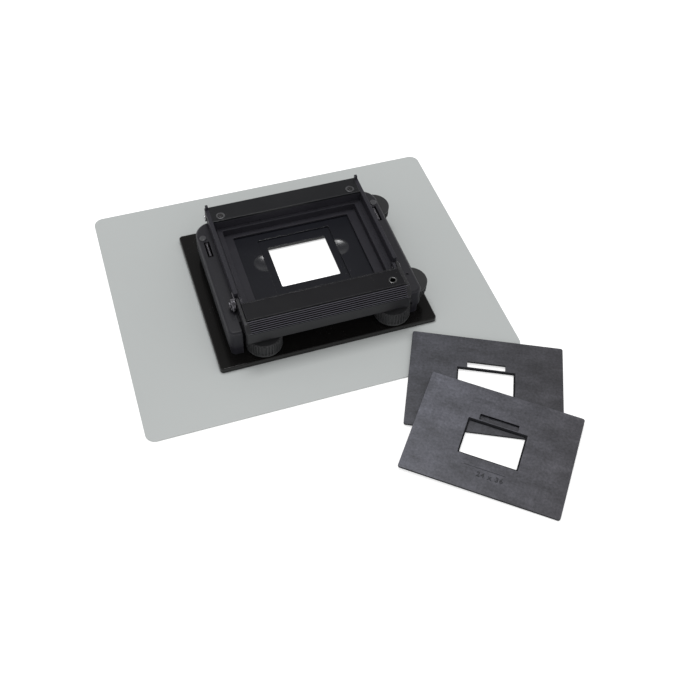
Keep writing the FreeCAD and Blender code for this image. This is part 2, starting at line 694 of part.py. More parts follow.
def rack(start, end, contact, line, z, outward):
    """Rack strip along X with its teeth towards +Y or -Y; a tooth stands at the contact."""
    half = (TOOTH_PITCH / 2 - BACKLASH) / 2
    slope = math.tan(math.radians(FLANK_ANGLE))
    foot = half + DEDENDUM * slope
    tip = half - ADDENDUM * slope
    first = math.ceil((start + foot - contact) / TOOTH_PITCH)
    last = math.floor((end - foot - contact) / TOOTH_PITCH)
    back = line - outward * RACK_WIDTH
    root = line - outward * DEDENDUM
    crest = line + outward * ADDENDUM
    points = [(start, back), (start, root)]
    for i in range(first, last + 1):
        middle = contact + i * TOOTH_PITCH
        points += [(middle - foot, root), (middle - tip, crest)]
        points += [(middle + tip, crest), (middle + foot, root)]
    points += [(end, root), (end, back)]
    corners = [V(x, y, z) for x, y in points + points[:1]]
    return Part.Face(Part.makePolygon(corners)).extrude(V(0, 0, BLADE_THICK))


def make_side_blade(side):
    """Left (side -1) or right (side +1) blade, at rest fully open."""
    contact = FRONT_WHEEL_X[0] if side < 0 else FRONT_WHEEL_X[1]
    line = FRONT_WHEEL_Y + FRONT_PITCH
    inner = SIDE_BLADE_OPEN
    outer = inner + SIDE_BLADE_DEPTH
    z0 = Z_SIDE_BLADE
    z1 = z0 + BLADE_THICK
    reach = SLIDE_WINDOW_WIDTH / 2 + BLADE_OVERLAP
    far = side * contact + SIDE_BLADE_TRAVEL + RACK_MARGIN
    x0, x1 = sorted((side * inner, side * outer))
    arm0, arm1 = sorted((side * (outer - ARM_WIDTH), side * outer))
    end0, end1 = sorted((side * (outer - ARM_WIDTH), side * far))
    plate = box(x0, x1, -reach, reach, z0, z1)
    arm = box(arm0, arm1, line - DEDENDUM, -reach, z0, z1)
    return fuse(plate, arm, rack(end0, end1, contact, line, z0, -1))


def make_end_blade(side):
    """Front (side -1) or rear (side +1) blade, at rest fully open."""
    contact = SIDE_WHEEL_Y[0] if side < 0 else SIDE_WHEEL_Y[1]
    line = SIDE_WHEEL_X - SIDE_PITCH
    inner = END_BLADE_OPEN
    outer = inner + END_BLADE_DEPTH
    z0 = Z_END_BLADE
    z1 = z0 + BLADE_THICK
    reach = SLIDE_WINDOW_LENGTH / 2 + BLADE_OVERLAP
    far = side * contact + END_BLADE_TRAVEL + RACK_MARGIN
    y0, y1 = sorted((side * inner, side * outer))
    arm0, arm1 = sorted((side * (outer - ARM_WIDTH), side * outer))
    end0, end1 = sorted((side * (outer - ARM_WIDTH), side * far))
    plate = box(-reach, reach, y0, y1, z0, z1)
    arm = box(reach, line - DEDENDUM, arm0, arm1, z0, z1)
    strip = rack(-end1, -end0, -contact, line, z0, 1)
    strip.rotate(V(0, 0, 0), V(0, 0, 1), -90)
    return fuse(plate, arm, strip)


def make_guide():
    """Flat plate that the side blades slide on."""
    x = HOUSING_X - WALL - GAP
    front, rear = guide_ends()
    guide = box(-x, x, front, rear, Z_GUIDE, Z_GUIDE + GUIDE_THICK)
    half_x = GATE_X + GUIDE_MARGIN
    half_y = SLIDE_WINDOW_WIDTH / 2 + GUIDE_REVEAL
    gate = box(-half_x, half_x, -half_y, half_y, Z_GUIDE - CUT, Z_GUIDE + GUIDE_THICK + CUT)
    return guide.cut(gate)


# ---------------------------------------------------------------- film inserts

def make_slide_insert():
    """Insert with a square recess for a mounted slide and two dished finger notches."""
    half_x = FILM_LENGTH / 2
    half_y = FILM_WIDTH / 2
    insert = slab(-half_x, half_x, -half_y, half_y, Z_FILM, Z_SLIDE, FILM_CORNER)
    half = SLIDE_RECESS / 2
    floor = Z_SLIDE - SLIDE_RECESS_DEPTH
    recess = slab(-half, half, -half, half, floor, Z_SLIDE + CUT, RECESS_CORNER)
    window_x = SLIDE_WINDOW_LENGTH / 2
    window_y = SLIDE_WINDOW_WIDTH / 2
    window = slab(-window_x, window_x, -window_y, window_y, Z_FILM - CUT, Z_SLIDE + CUT,
                  RECESS_CORNER)
    radius = (NOTCH_RADIUS ** 2 + SLIDE_RECESS_DEPTH ** 2) / (2 * SLIDE_RECESS_DEPTH)
    dishes = [Part.makeSphere(radius, V(side * half, NOTCH_Y, floor + radius)) for side in (-1, 1)]
    return insert.cut([recess, window] + dishes)


def flat_spare():
    """Spare insert, centred on the origin with its underside at z = 0."""
    half_x = FILM_LENGTH / 2
    half_y = FILM_WIDTH / 2
    plate = slab(-half_x, half_x, -half_y, half_y, 0, SPARE_THICK, FILM_CORNER)
    half_w = SPARE_WINDOW_LENGTH / 2
    y0 = SPARE_WINDOW_SHIFT - SPARE_WINDOW_WIDTH / 2
    y1 = SPARE_WINDOW_SHIFT + SPARE_WINDOW_WIDTH / 2
    window = slab(-half_w, half_w, y0, y1, -CUT, SPARE_THICK + CUT, SPARE_WINDOW_CORNER)
    slot_y = y1 + SPARE_SLOT_WEB
    half_s = SPARE_SLOT_LENGTH / 2
    slot = slab(-half_s, half_s, slot_y, slot_y + SPARE_SLOT_WIDTH, -CUT, SPARE_THICK + CUT,
                SPARE_WINDOW_CORNER)
    bevel_wires = []
    rise = SPARE_THICK / 2
    for extra, z in ((0.0, SPARE_THICK - rise), (SPARE_BEVEL * 2, SPARE_THICK + rise)):
        corners = [V(sx * (half_w + extra), sy + math.copysign(extra, sy - SPARE_WINDOW_SHIFT), z)
                   for sx, sy in ((-1, y0), (1, y0), (1, y1), (-1, y1))]
        bevel_wires.append(Part.makePolygon(corners + corners[:1]))
    bevel = Part.makeLoft(bevel_wires, True, True)
    return plate.cut([window, slot, bevel])


def corner_points(place):
    """Corners of a turned insert seen from above."""
    x, y, turn = place
    angle = math.radians(turn)
    ex = (math.cos(angle) * FILM_LENGTH / 2, math.sin(angle) * FILM_LENGTH / 2)
    ey = (-math.sin(angle) * FILM_WIDTH / 2, math.cos(angle) * FILM_WIDTH / 2)
    return [(x + a * ex[0] + b * ey[0], y + a * ex[1] + b * ey[1])
            for a, b in ((-1, -1), (1, -1), (1, 1), (-1, 1))]


def lay(shape, place, slope_x, slope_y, rise):
    """Turn an insert, tip it to the given slopes and set the height of its centre."""
    x, y, turn = place
    shape = shape.copy()
    shape.rotate(V(0, 0, 0), V(0, 0, 1), turn)
    steepness = math.hypot(slope_x, slope_y)
    axis = V(slope_y, -slope_x, 0)
    shape.rotate(V(0, 0, 0), axis, math.degrees(math.atan(steepness)))
    shape.translate(V(x, y, rise))
    return shape


def rear_spare_plane():
    """Slope and centre height of the spare that bridges the sheet's front edge."""
    lowest = min(y for x, y in corner_points(REAR_SPARE))
    slope = (SHEET_THICK + LAY_GAP) / (-SHEET_WIDTH / 2 - lowest)
    return slope, slope * (REAR_SPARE[1] - lowest)


def make_rear_spare():
    """Spare insert that lies on the ground and on the sheet's front edge."""
    slope, rise = rear_spare_plane()
    return lay(flat_spare(), REAR_SPARE, 0.0, slope, rise)


def make_front_spare():
    """Spare insert that lies on the ground and on two corners of the other spare."""
    slope, rise = rear_spare_plane()
    rests = []
    for x, y in sorted(corner_points(REAR_SPARE), key=lambda c: c[1])[:1] + corner_points(REAR_SPARE)[:1]:
        top = rise + slope * (y - REAR_SPARE[1]) + SPARE_THICK + LAY_GAP
        rests.append((x, y, top))
    ground = min(corner_points(FRONT_SPARE), key=lambda c: c[1])
    (x1, y1, z1), (x2, y2, z2) = [(x - ground[0], y - ground[1], z) for x, y, z in rests]
    area = x1 * y2 - x2 * y1
    slope_x = (z1 * y2 - z2 * y1) / area
    slope_y = (x1 * z2 - x2 * z1) / area
    rise = slope_x * (FRONT_SPARE[0] - ground[0]) + slope_y * (FRONT_SPARE[1] - ground[1])
    return lay(flat_spare(), FRONT_SPARE, slope_x, slope_y, rise)


# ---------------------------------------------------------------- lid

def lid_side_wall():
    """Right-hand wall with a rounded rear foot and an upright ear."""
    front = PIVOT_Y + KNUCKLE + GAP
    x0, x1 = LID_INNER, LID_HALF
    wall = box(x0, x1, front, HINGE_Y, Z_LID, Z_LID_TOP)
    rear = box(x0, x1, HINGE_Y, LID_REAR, Z_HINGE, Z_LID_TOP)
    foot = rod(x0, x1, HINGE_Y, Z_HINGE, HINGE_RADIUS)
    ear = box(x1 - EAR_INSET - EAR_THICK, x1 - EAR_INSET, LID_REAR - EAR_DEPTH, LID_REAR,
              Z_LID_TOP - CUT, Z_LID_TOP + EAR_HEIGHT)
    ear = ear.makeFillet(EAR_ROUND, [e for e in top_edges(ear, Z_LID_TOP + EAR_HEIGHT)
                                     if abs(e.Vertexes[0].Point.y - e.Vertexes[-1].Point.y) < 1e-6])
    return fuse(wall, rear, foot, ear)


def lid_tub():
    """Shelf, skirt and web that hold the film flat."""
    top = Z_LID + LID_SHELF
    shelf = box(-LID_INNER - LAP, LID_INNER + LAP, BAR_REAR, HINGE_Y - SHELF_SETBACK, Z_LID, top)
    skirt = slab(-SKIRT_X, SKIRT_X, SKIRT_FRONT, SKIRT_REAR, Z_WEB, top, FILM_CORNER)
    bead_x = LID_INNER - SHELF_BEAD_INSET
    bead = box(bead_x - SHELF_BEAD, bead_x, BAR_REAR, PANEL_FRONT, Z_LID, top + SHELF_BEAD_HEIGHT)
    tub = fuse(shelf, skirt, *both_sides(bead))
    room = slab(-SKIRT_X + SKIRT_WALL, SKIRT_X - SKIRT_WALL, SKIRT_FRONT + SKIRT_WALL,
                SKIRT_REAR - SKIRT_WALL, Z_WEB + WEB_THICK, Z_LID_TOP, RECESS_CORNER)
    aperture = slab(-APERTURE_X, APERTURE_X, -APERTURE_Y, APERTURE_Y, Z_WEB - CUT,
                    Z_WEB + WEB_THICK + CUT, RECESS_CORNER)
    return tub.cut([room, aperture])


def front_beam():
    """Channel under the front bar, with its rounded front face."""
    round_face = rod(-BAR_HALF, BAR_HALF, PIVOT_Y, Z_PIVOT, GRIP_REACH)
    block = box(-BAR_HALF, BAR_HALF, BAR_FRONT - CUT, BAR_REAR, Z_LID, Z_BAR - BAR_THICK)
    beam = block.common(round_face)
    x = BAR_HALF - BEAM_WALL
    room = box(-x, x, BAR_FRONT + BEAM_FACE, BAR_REAR - BEAM_WALL, Z_LID + LID_SHELF, Z_BAR)
    return beam.cut(room)


def pivot_lug():
    """Lug on the lid that carries the grip's pin, right-hand side."""
    x0 = BAR_HALF - LUG_THICK
    front = BAR_REAR - LAP
    lug = box(x0, BAR_HALF, front, PIVOT_Y + KNUCKLE, Z_LID, Z_PIVOT)
    cap = rod(x0, BAR_HALF, PIVOT_Y, Z_PIVOT, KNUCKLE)
    brace = box(x0, BAR_HALF, front, PIVOT_Y, Z_PIVOT - CUT, Z_PIVOT + KNUCKLE - LUG_LOW)
    return fuse(lug, cap, brace)


def rear_beam():
    """Channel under the rear panel, open below for the hinge lugs."""
    inner = LID_INNER - LUG_WIDTH - 2 * GAP
    shelf_top = Z_LID + LID_SHELF
    half = LID_INNER + LAP
    drop = box(-half, half, PANEL_FRONT, PANEL_FRONT + DROP_WALL, Z_LID, Z_PANEL)
    notches = []
    for x in (-DROP_NOTCH_FAR, -DROP_NOTCH_NEAR, DROP_NOTCH_NEAR, DROP_NOTCH_FAR):
        notches.append(box(x - DROP_NOTCH / 2, x + DROP_NOTCH / 2, PANEL_FRONT - CUT,
                           PANEL_FRONT + DROP_NOTCH_DEPTH, shelf_top, shelf_top + DROP_NOTCH_HEIGHT))
    drop = drop.cut(notches)
    back = box(-inner, inner, LID_REAR - BEAM_WALL, LID_REAR, Z_HINGE, Z_PANEL)
    rib_z = Z_HINGE + RIB_RISE
    ribs = [box(x - BEAM_WALL / 2, x + BEAM_WALL / 2, PANEL_FRONT + CUT, LID_REAR, rib_z, Z_PANEL)
            for x in (-RIB_SPACING, 0.0, RIB_SPACING)]
    screw_posts = [box(x - SCREW_POST / 2, x + SCREW_POST / 2, PANEL_FRONT + CUT,
                       PANEL_FRONT + SCREW_POST_DEPTH, Z_HINGE, Z_PANEL)
                   for x in (-PANEL_SCREW_X, PANEL_SCREW_X)]
    return [drop, back] + ribs + screw_posts


def make_lid():
    """One moulded frame that carries the panels, the grip and the hinge pins."""
    parts = both_sides(lid_side_wall()) + both_sides(pivot_lug()) + rear_beam()
    lid = fuse(lid_tub(), front_beam(), *parts)
    holes = both_sides(rod(LID_INNER - CUT, LID_HALF + CUT, HINGE_Y, Z_HINGE, SPINDLE_RADIUS + RUNNING))
    holes += both_sides(rod(BAR_HALF - LUG_THICK - CUT, BAR_HALF + CUT, PIVOT_Y, Z_PIVOT, PIN_RADIUS))
    holes.append(pillar(BUSH_X, BUSH_Y, Z_LID - CUT, Z_LID_TOP, BUSH_RADIUS))
    holes += [panel_screw_hole(x) for x in (-PANEL_SCREW_X, PANEL_SCREW_X)]
    return lid.cut(holes)


def panel_screw_hole(x):
    """Hole for a rear-panel screw."""
    return pillar(x, PANEL_SCREW_Y, Z_PANEL - PIN_HOLE_DEPTH, Z_LID_TOP + CUT, PANEL_SHANK)


def make_rear_panel():
    """Flat bare panel on the rear beam with a raised front lip."""
    x = LID_INNER
    panel = box(-x, x, PANEL_FRONT, LID_REAR, Z_PANEL, Z_LID_TOP)
    lip = box(-x, x, PANEL_FRONT, PANEL_FRONT + PANEL_LIP, Z_PANEL, Z_LID_TOP + PANEL_LIP_HEIGHT)
    panel = fuse(panel, lip)
    return panel.cut([panel_screw_hole(x) for x in (-PANEL_SCREW_X, PANEL_SCREW_X)])


def make_panel_screws():
    """Two domed cross-slotted screws in the rear panel."""
    screws = []
    y = PANEL_SCREW_Y
    top = Z_LID_TOP + PANEL_SCREW_HEAD
    for x in (-PANEL_SCREW_X, PANEL_SCREW_X):
        head = pillar(x, y, Z_LID_TOP, top, PANEL_SCREW_RADIUS)
        head = head.makeFillet(PANEL_SCREW_HEAD / 2, top_edges(head, top))
        shank = pillar(x, y, Z_PANEL - PANEL_SHANK_LENGTH, Z_LID_TOP + GAP, PANEL_SHANK)
        slots = [box(x - a, x + a, y - b, y + b, Z_LID_TOP + PANEL_SCREW_HEAD / 2, top + CUT)
                 for a, b in ((CROSS_ARM, CROSS_SLOT / 2), (CROSS_SLOT / 2, CROSS_ARM))]
        screws.append(fuse(head, shank).cut(slots))
    return screws


def make_front_bar():
    """Flat cover plate of the front beam with a bead along both long edges."""
    round_face = rod(-BAR_HALF, BAR_HALF, PIVOT_Y, Z_PIVOT, GRIP_REACH)
    plate = box(-BAR_HALF, BAR_HALF, BAR_FRONT - CUT, BAR_REAR, Z_BAR - BAR_THICK, Z_BAR)
    edge = arc_y(Z_BAR, GRIP_REACH)
    crest = Z_BAR + BAR_BEAD_HEIGHT
    near = box(-BAR_HALF, BAR_HALF, BAR_FRONT - CUT, edge + BAR_BEAD, Z_BAR - BAR_THICK, crest)
    far = box(-BAR_HALF, BAR_HALF, BAR_REAR - BAR_BEAD, BAR_REAR, Z_BAR - BAR_THICK, crest)
    bar = fuse(plate, near, far).common(round_face)
    return bar.cut(pillar(BUSH_X, BUSH_Y, Z_LID, Z_LID_TOP, BUSH_RADIUS))


def make_bush():
    """Flanged bush in the front bar."""
    tube = pillar(BUSH_X, BUSH_Y, Z_LID + LID_SHELF, Z_BAR + BUSH_RIM, BUSH_RADIUS)
    return tube.cut(pillar(BUSH_X, BUSH_Y, Z_LID, Z_LID_TOP + CUT, BUSH_RADIUS - BUSH_WALL))


def make_hinge_pins():
    """Headed pins fixed in the housing lugs; the lid turns on them."""
    x0 = LID_INNER - GAP - LUG_WIDTH
    x1 = LID_HALF + GAP
    pin = rod(x0, x1, HINGE_Y, Z_HINGE, SPINDLE_RADIUS)
    head = rod(x1, x1 + HEAD_THICK, HINGE_Y, Z_HINGE, HINGE_HEAD)
    return both_sides(fuse(pin, head))


# ---------------------------------------------------------------- grip

def arc_y(z, reach):
    """Place in Y, at a height, of the round face struck from the grip's pivot."""
    return PIVOT_Y - math.sqrt(reach ** 2 - (z - Z_PIVOT) ** 2)


def grip_slope():
    """Start and end of the sloping face that carries the grooves."""
    top_z = Z_BAR - GAP
    start = (arc_y(top_z, GRIP_REACH + GRIP_GAP) - SLOPE_START, top_z)
    return start, (BAR_FRONT - GRIP_LENGTH, Z_BAR - GRIP_DROP)


def grip_block(x0, x1):
    """Grip without its grooves, with a rounded nose and a hanging skirt."""
    start, nose = grip_slope()
    low_z = Z_LID + GRIP_FIT
    lip_z = nose[1] - LIP_THICK
    skirt_z = lip_z - SKIRT_DROP
    inner_y = nose[0] + LIP_UNDERCUT + GRIP_SKIN
    block = extrude_yz([(BAR_FRONT + BEAM_FACE, start[1]), start, nose, (nose[0] + LIP_UNDERCUT, lip_z),
                        (nose[0] + SKIRT_RAKE, skirt_z), (inner_y, skirt_z), (inner_y, low_z),
                        (BAR_FRONT + BEAM_FACE, low_z)], x0, x1)
    edges = [e for e in block.Edges
             if all(abs(v.Y - nose[0]) < 1e-6 and abs(v.Z - nose[1]) < 1e-6 for v in e.Vertexes)]
    return block.makeFillet(NOSE_ROUND, edges)


def grip_grooves():
    """Grooves along the slope, short of its ends."""
    start, nose = grip_slope()
    run_y = (nose[0] - start[0]) / GRIP_GROOVES
    run_z = (nose[1] - start[1]) / GRIP_GROOVES
    pitch = math.hypot(run_y, run_z)
    out_y = run_z / pitch * GROOVE_DEPTH
    out_z = -run_y / pitch * GROOVE_DEPTH
    half = GROOVE_SHARE / 2
    grooves = []
    for i in range(GRIP_GROOVES):
        first = (start[0] + run_y * (i + 0.5 - half), start[1] + run_z * (i + 0.5 - half))
        last = (start[0] + run_y * (i + 0.5 + half), start[1] + run_z * (i + 0.5 + half))
        corners = [(first[0] + out_y, first[1] + out_z), (last[0] + out_y, last[1] + out_z),
                   (last[0] - out_y, last[1] - out_z), (first[0] - out_y, first[1] - out_z)]
        grooves.append(extrude_yz(corners, -ARM_OUTER + LEFT_PLAIN, ARM_OUTER - RIGHT_PLAIN))
    return grooves


def grip_arm():
    """Right-hand arm from the pin to the grip's end."""
    front = BAR_FRONT - BEAM_WALL
    low_z = Z_LID + GRIP_FIT
    knuckle = rod(ARM_INNER, ARM_OUTER, PIVOT_Y, Z_PIVOT, KNUCKLE)
    arm = box(ARM_INNER, ARM_OUTER, front, PIVOT_Y, low_z, Z_PIVOT + KNUCKLE)
    return fuse(arm, knuckle, grip_block(ARM_INNER, ARM_OUTER))


def make_grip():
    """Ribbed grip with its two arms and rounded front corners."""
    bar = grip_block(-ARM_INNER, ARM_INNER)
    bar = bar.cut(rod(-ARM_INNER, ARM_INNER, PIVOT_Y, Z_PIVOT, GRIP_REACH + GRIP_GAP))
    grip = fuse(bar, *both_sides(grip_arm()))
    nose_y = BAR_FRONT - GRIP_LENGTH
    hull = slab(-ARM_OUTER, ARM_OUTER, nose_y, HINGE_Y, Z_PLATE, Z_LID_TOP, GRIP_CORNER)
    grip = grip.common(hull).cut(grip_grooves())
    return grip.cut(rod(-ARM_OUTER - CUT, ARM_OUTER + CUT, PIVOT_Y, Z_PIVOT, PIN_RADIUS + RUNNING))


def spring_length():
    """Length of the torsion spring's closed turns."""
    return SPRING_TURNS * SPRING_WIRE


def make_grip_pins():
    """Steel pins pressed into the lid; the left one is longer and carries the spring."""
    pins = []
    for side, length in ((1, GAP), (-1, 2 * GAP + spring_length())):
        end = ARM_OUTER + length
        pin = rod(BAR_HALF - LUG_THICK - GAP, end, PIVOT_Y, Z_PIVOT, PIN_RADIUS)
        head = rod(end, end + HEAD_THICK, PIVOT_Y, Z_PIVOT, PIN_HEAD)
        shape = fuse(pin, head)
        pins.append(shape if side > 0 else shape.mirror(V(0, 0, 0), V(1, 0, 0)))
    return pins


def spring_profile(x0, radius, middle):
    """Outline of the closed turns, seen along the coil."""
    facet = radius / math.cos(math.pi / SPRING_FACETS)
    step = 2 * math.pi / SPRING_FACETS
    upper = []
    lower = []
    for turn in range(SPRING_TURNS):
        x = x0 + radius + turn * SPRING_WIRE
        for i in range(SPRING_FACETS // 2):
            angle = math.pi - (i + 0.5) * step
            upper.append((x + facet * math.cos(angle), middle + facet * math.sin(angle)))
            lower.append((x + facet * math.cos(angle), middle - facet * math.sin(angle)))
        if turn < SPRING_TURNS - 1:
            upper.pop()
            lower.pop()
    return [V(x, PIVOT_Y, Z_PIVOT + z) for x, z in upper + lower[::-1]]


def make_grip_spring():
    """Torsion spring on the left pin, outside the arm, with its two legs."""
    radius = SPRING_WIRE / 2
    middle = SPRING_RADIUS - radius
    x0 = -ARM_OUTER - GAP - spring_length()
    corners = spring_profile(x0, radius, middle)
    coil = Part.Face(Part.makePolygon(corners + corners[:1]))
    coil = coil.revolve(V(0, PIVOT_Y, Z_PIVOT), V(1, 0, 0), 360)
    leg_radius = radius - RUNNING
    z = Z_PIVOT + middle
    first = Part.makeCylinder(leg_radius, SPRING_LEG, V(x0 + radius, PIVOT_Y, z), V(0, -1, 0))
    x1 = x0 + spring_length() - radius
    last = Part.makeCylinder(leg_radius, SPRING_LEG, V(x1, PIVOT_Y, z), V(0, 1, 0))
    return coil.fuse([first, last])


def make_side_springs():
    """Coil springs in the cover's two slots, hooked at both ends."""
    start = V(SIDE_SPRING_X, SIDE_SPRING_Y - SIDE_SPRING_LENGTH / 2, Z_SIDE_SPRING)
    along = V(0, 1, 0)
    coil = Part.makeCylinder(SIDE_SPRING_RADIUS, SIDE_SPRING_LENGTH, start, along)
    room_length = SIDE_SPRING_LENGTH - 2 * SIDE_SPRING_WIRE
    room = Part.makeCylinder(SIDE_SPRING_RADIUS - SIDE_SPRING_WIRE, room_length,
                             start + along * SIDE_SPRING_WIRE, along)
    hook = Part.makeCylinder(SIDE_SPRING_WIRE / 2, SIDE_SPRING_LENGTH + 2 * SLOT_FIT,
                             start - along * SLOT_FIT, along)
    return both_sides(coil.fuse(hook).cut(room))


def main():
    """Build and write every node."""
    os.makedirs(OUT, exist_ok=True)
    save("light_mask_sheet", make_sheet())
    save("base_plate", make_base_plate())
    save("housing_tray", make_tray())
    save("housing_cover", make_cover())
    save("housing_screws", *make_housing_screws())
    save("blade_guide", make_guide())
    save("blade_left", make_side_blade(-1))
    save("blade_right", make_side_blade(1))
    save("blade_front", make_end_blade(-1))
    save("blade_rear", make_end_blade(1))
    save("wheel_front_left", make_front_wheel(FRONT_WHEEL_X[0]))
    save("wheel_front_right", make_front_wheel(FRONT_WHEEL_X[1]))
    save("wheel_side_front", make_side_wheel(SIDE_WHEEL_Y[0]))
    save("wheel_side_rear", make_side_wheel(SIDE_WHEEL_Y[1]))
    save("front_wheel_pins", *make_front_pins())
    save("side_wheel_spindles", *make_spindles())
    save("cover_studs", make_stud())
    save("slide_insert", make_slide_insert())
    save("lid_frame", make_lid())
    save("rear_panel", make_rear_panel())
    save("rear_panel_screws", *make_panel_screws())
    save("front_bar", make_front_bar())
    save("front_bar_bush", make_bush())
    save("hinge_pins", *make_hinge_pins())
    save("ribbed_grip", make_grip())
    save("grip_pins", *make_grip_pins())
    save("grip_springs", make_grip_spring())
    save("side_springs", *make_side_springs())
    save("spare_insert_front", make_front_spare())
    save("spare_insert_rear", make_rear_spare())


main()
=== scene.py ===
import json
import math

import bmesh
import bpy
from bpy.props import FloatProperty, FloatVectorProperty, IntProperty, PointerProperty
from mathutils import Matrix, Vector


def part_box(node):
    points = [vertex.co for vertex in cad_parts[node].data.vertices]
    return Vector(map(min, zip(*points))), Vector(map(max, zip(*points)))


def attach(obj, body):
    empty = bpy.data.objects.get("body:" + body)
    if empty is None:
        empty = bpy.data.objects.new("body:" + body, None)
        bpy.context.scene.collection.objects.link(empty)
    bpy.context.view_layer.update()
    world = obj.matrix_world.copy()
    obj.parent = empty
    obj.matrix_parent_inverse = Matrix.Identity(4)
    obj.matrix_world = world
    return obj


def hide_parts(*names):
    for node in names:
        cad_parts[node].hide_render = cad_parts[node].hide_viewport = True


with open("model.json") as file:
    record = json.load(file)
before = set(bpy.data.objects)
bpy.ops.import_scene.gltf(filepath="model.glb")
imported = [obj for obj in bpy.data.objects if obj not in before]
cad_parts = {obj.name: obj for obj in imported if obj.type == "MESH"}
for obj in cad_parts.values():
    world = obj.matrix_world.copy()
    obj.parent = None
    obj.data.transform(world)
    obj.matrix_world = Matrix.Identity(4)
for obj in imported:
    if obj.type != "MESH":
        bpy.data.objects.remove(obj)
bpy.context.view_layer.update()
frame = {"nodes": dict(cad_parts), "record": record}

bl_info = {
    "name": "Slide Duplicator",
    "version": (1, 0, 0),
    "blender": (4, 5, 0),
    "location": "View3D > Sidebar > Duplicator",
    "description": "Dresses the slide duplicator's frame with finished pieces",
    "category": "Object",
}

MM = 0.001
MERGE = 2e-6           # vertices nearer than this are one
FLAT_ANGLE = math.radians(0.6)     # faces within this angle are merged
EDGE_ANGLE = math.radians(38)      # edges sharper than this are rounded
SMOOTH_ANGLE = math.radians(36)    # edges sharper than this stay sharp in shading
ROUND_SEGMENTS = 3     # steps in the rounding of a moulded edge
FINE_SEGMENTS = 2      # steps in the rounding of a thin or small piece
ROOM_SHARE = 0.38      # a rounding takes up to this much of a narrow face
MANY_CORNERS = 8       # a dented face with more corners than this is split before rounding
ASKEW = (0.31, 0.17, 0.93)    # way that no wire runs along
PLACES = 2             # decimals of a millimetre that a turned outline keeps


# ---- settings

def a_length(name, description, size):
    """Setting for a length."""
    return FloatProperty(name=name, description=description, default=size, min=0.0, precision=5,
                         unit="LENGTH")


def a_colour(name, description, *levels):
    """Setting for a colour."""
    return FloatVectorProperty(name=name, description=description, default=levels, min=0, max=1,
                               size=3, subtype="COLOR")


def a_level(name, description, value, most=10.0):
    """Setting for a level of light or a share of it."""
    return FloatProperty(name=name, description=description, default=value, min=0.0, max=most,
                         subtype="FACTOR")


class DuplicatorSizes(bpy.types.PropertyGroup):
    """Sizes of the finished pieces."""

    moulded_edge: a_length("Moulded edge", "Rounding of moulded edges", 0.28 * MM)
    plate_edge: a_length("Plate edge", "Rounding of the glossy plate's edges", 0.18 * MM)
    sheet_edge: a_length("Sheet edge", "Rounding of the thin sheet's edges", 0.12 * MM)
    insert_edge: a_length("Insert edge", "Rounding of the film inserts' edges", 0.16 * MM)
    metal_edge: a_length("Metal edge", "Rounding of screws, pins and the bush", 0.1 * MM)
    rib_round: a_length("Rib rounding", "Rounding of the thumbwheels' ribs", 0.11 * MM)
    front_ribs: IntProperty(name="Front ribs", description="Ribs on each front thumbwheel",
                            default=36, min=3)
    side_ribs: IntProperty(name="Side ribs", description="Ribs on each side thumbwheel",
                           default=34, min=3)
    coil_wire: a_length("Grip spring wire", "Thickness of the grip spring's wire", 0.74 * MM)
    slim_wire: a_length("Side spring wire", "Thickness of the side springs' wire", 0.42 * MM)
    figure_height: a_length("Figure height", "Height of the raised figures", 4.6 * MM)
    figure_rise: a_length("Figure rise", "How far the figures stand out", 0.2 * MM)


class DuplicatorColours(bpy.types.PropertyGroup):
    """Colours of the finishes."""

    sheet: a_colour("Sheet", "Light-mask sheet", 0.545, 0.568, 0.562)
    plate: a_colour("Plate", "Glossy base plate", 0.0074, 0.0070, 0.0067)
    housing: a_colour("Housing", "Moulded housing", 0.0150, 0.0145, 0.0192)
    lid: a_colour("Lid", "Lid frame and grip", 0.0262, 0.0254, 0.0320)
    panel: a_colour("Panel", "Bare rear panel", 0.0070, 0.0074, 0.0092)
    bar: a_colour("Bar", "Front bar", 0.0054, 0.0052, 0.0070)
    insert: a_colour("Slide insert", "Insert for mounted slides", 0.0104, 0.0109, 0.0152)
    spare: a_colour("Spare insert", "Slate spare inserts", 0.106, 0.109, 0.134)
    wheel: a_colour("Thumbwheel", "Thumbwheels", 0.026, 0.0265, 0.028)
    blade: a_colour("Blade", "Blackened masking blades", 0.010, 0.010, 0.010)
    steel: a_colour("Steel", "Plain steel", 0.55, 0.55, 0.56)
    black_steel: a_colour("Black steel", "Blackened steel", 0.045, 0.044, 0.046)
    bush: a_colour("Bush", "Dark steel of the bush", 0.22, 0.22, 0.22)
    stud: a_colour("Stud", "Worn heads on the cover and panel", 0.10, 0.10, 0.106)
    zinc: a_colour("Zinc", "Zinc-coated springs and grip pins", 0.16, 0.155, 0.17)


class DuplicatorStudio(bpy.types.PropertyGroup):
    """Light of the studio."""

    key_power: FloatProperty(name="Key power", description="Power of the soft box overhead",
                             default=4.0, min=0.0, unit="POWER")
    key_size: a_length("Key size", "Edge of the soft box overhead", 0.40)
    key_place: FloatVectorProperty(name="Key place", description="Centre of the soft box", size=3,
                                   default=(0.0, 0.21, 1.02), subtype="TRANSLATION", unit="LENGTH")
    fill: a_level("Fill", "Level of the light from all round", 0.56)
    front_share: a_level("Front share", "How much more of the fill comes from in front", 0.6, 1.0)
    ceiling: a_level("Ceiling", "Level of the ceiling in reflections", 0.16)
    floor_lift: a_level("Floor lift", "Level added to the floor as it is seen", 0.56)


# ---- node helpers

SOCKET_KINDS = {float: "Float", int: "Int", tuple: "Vector"}
BUILT = {}


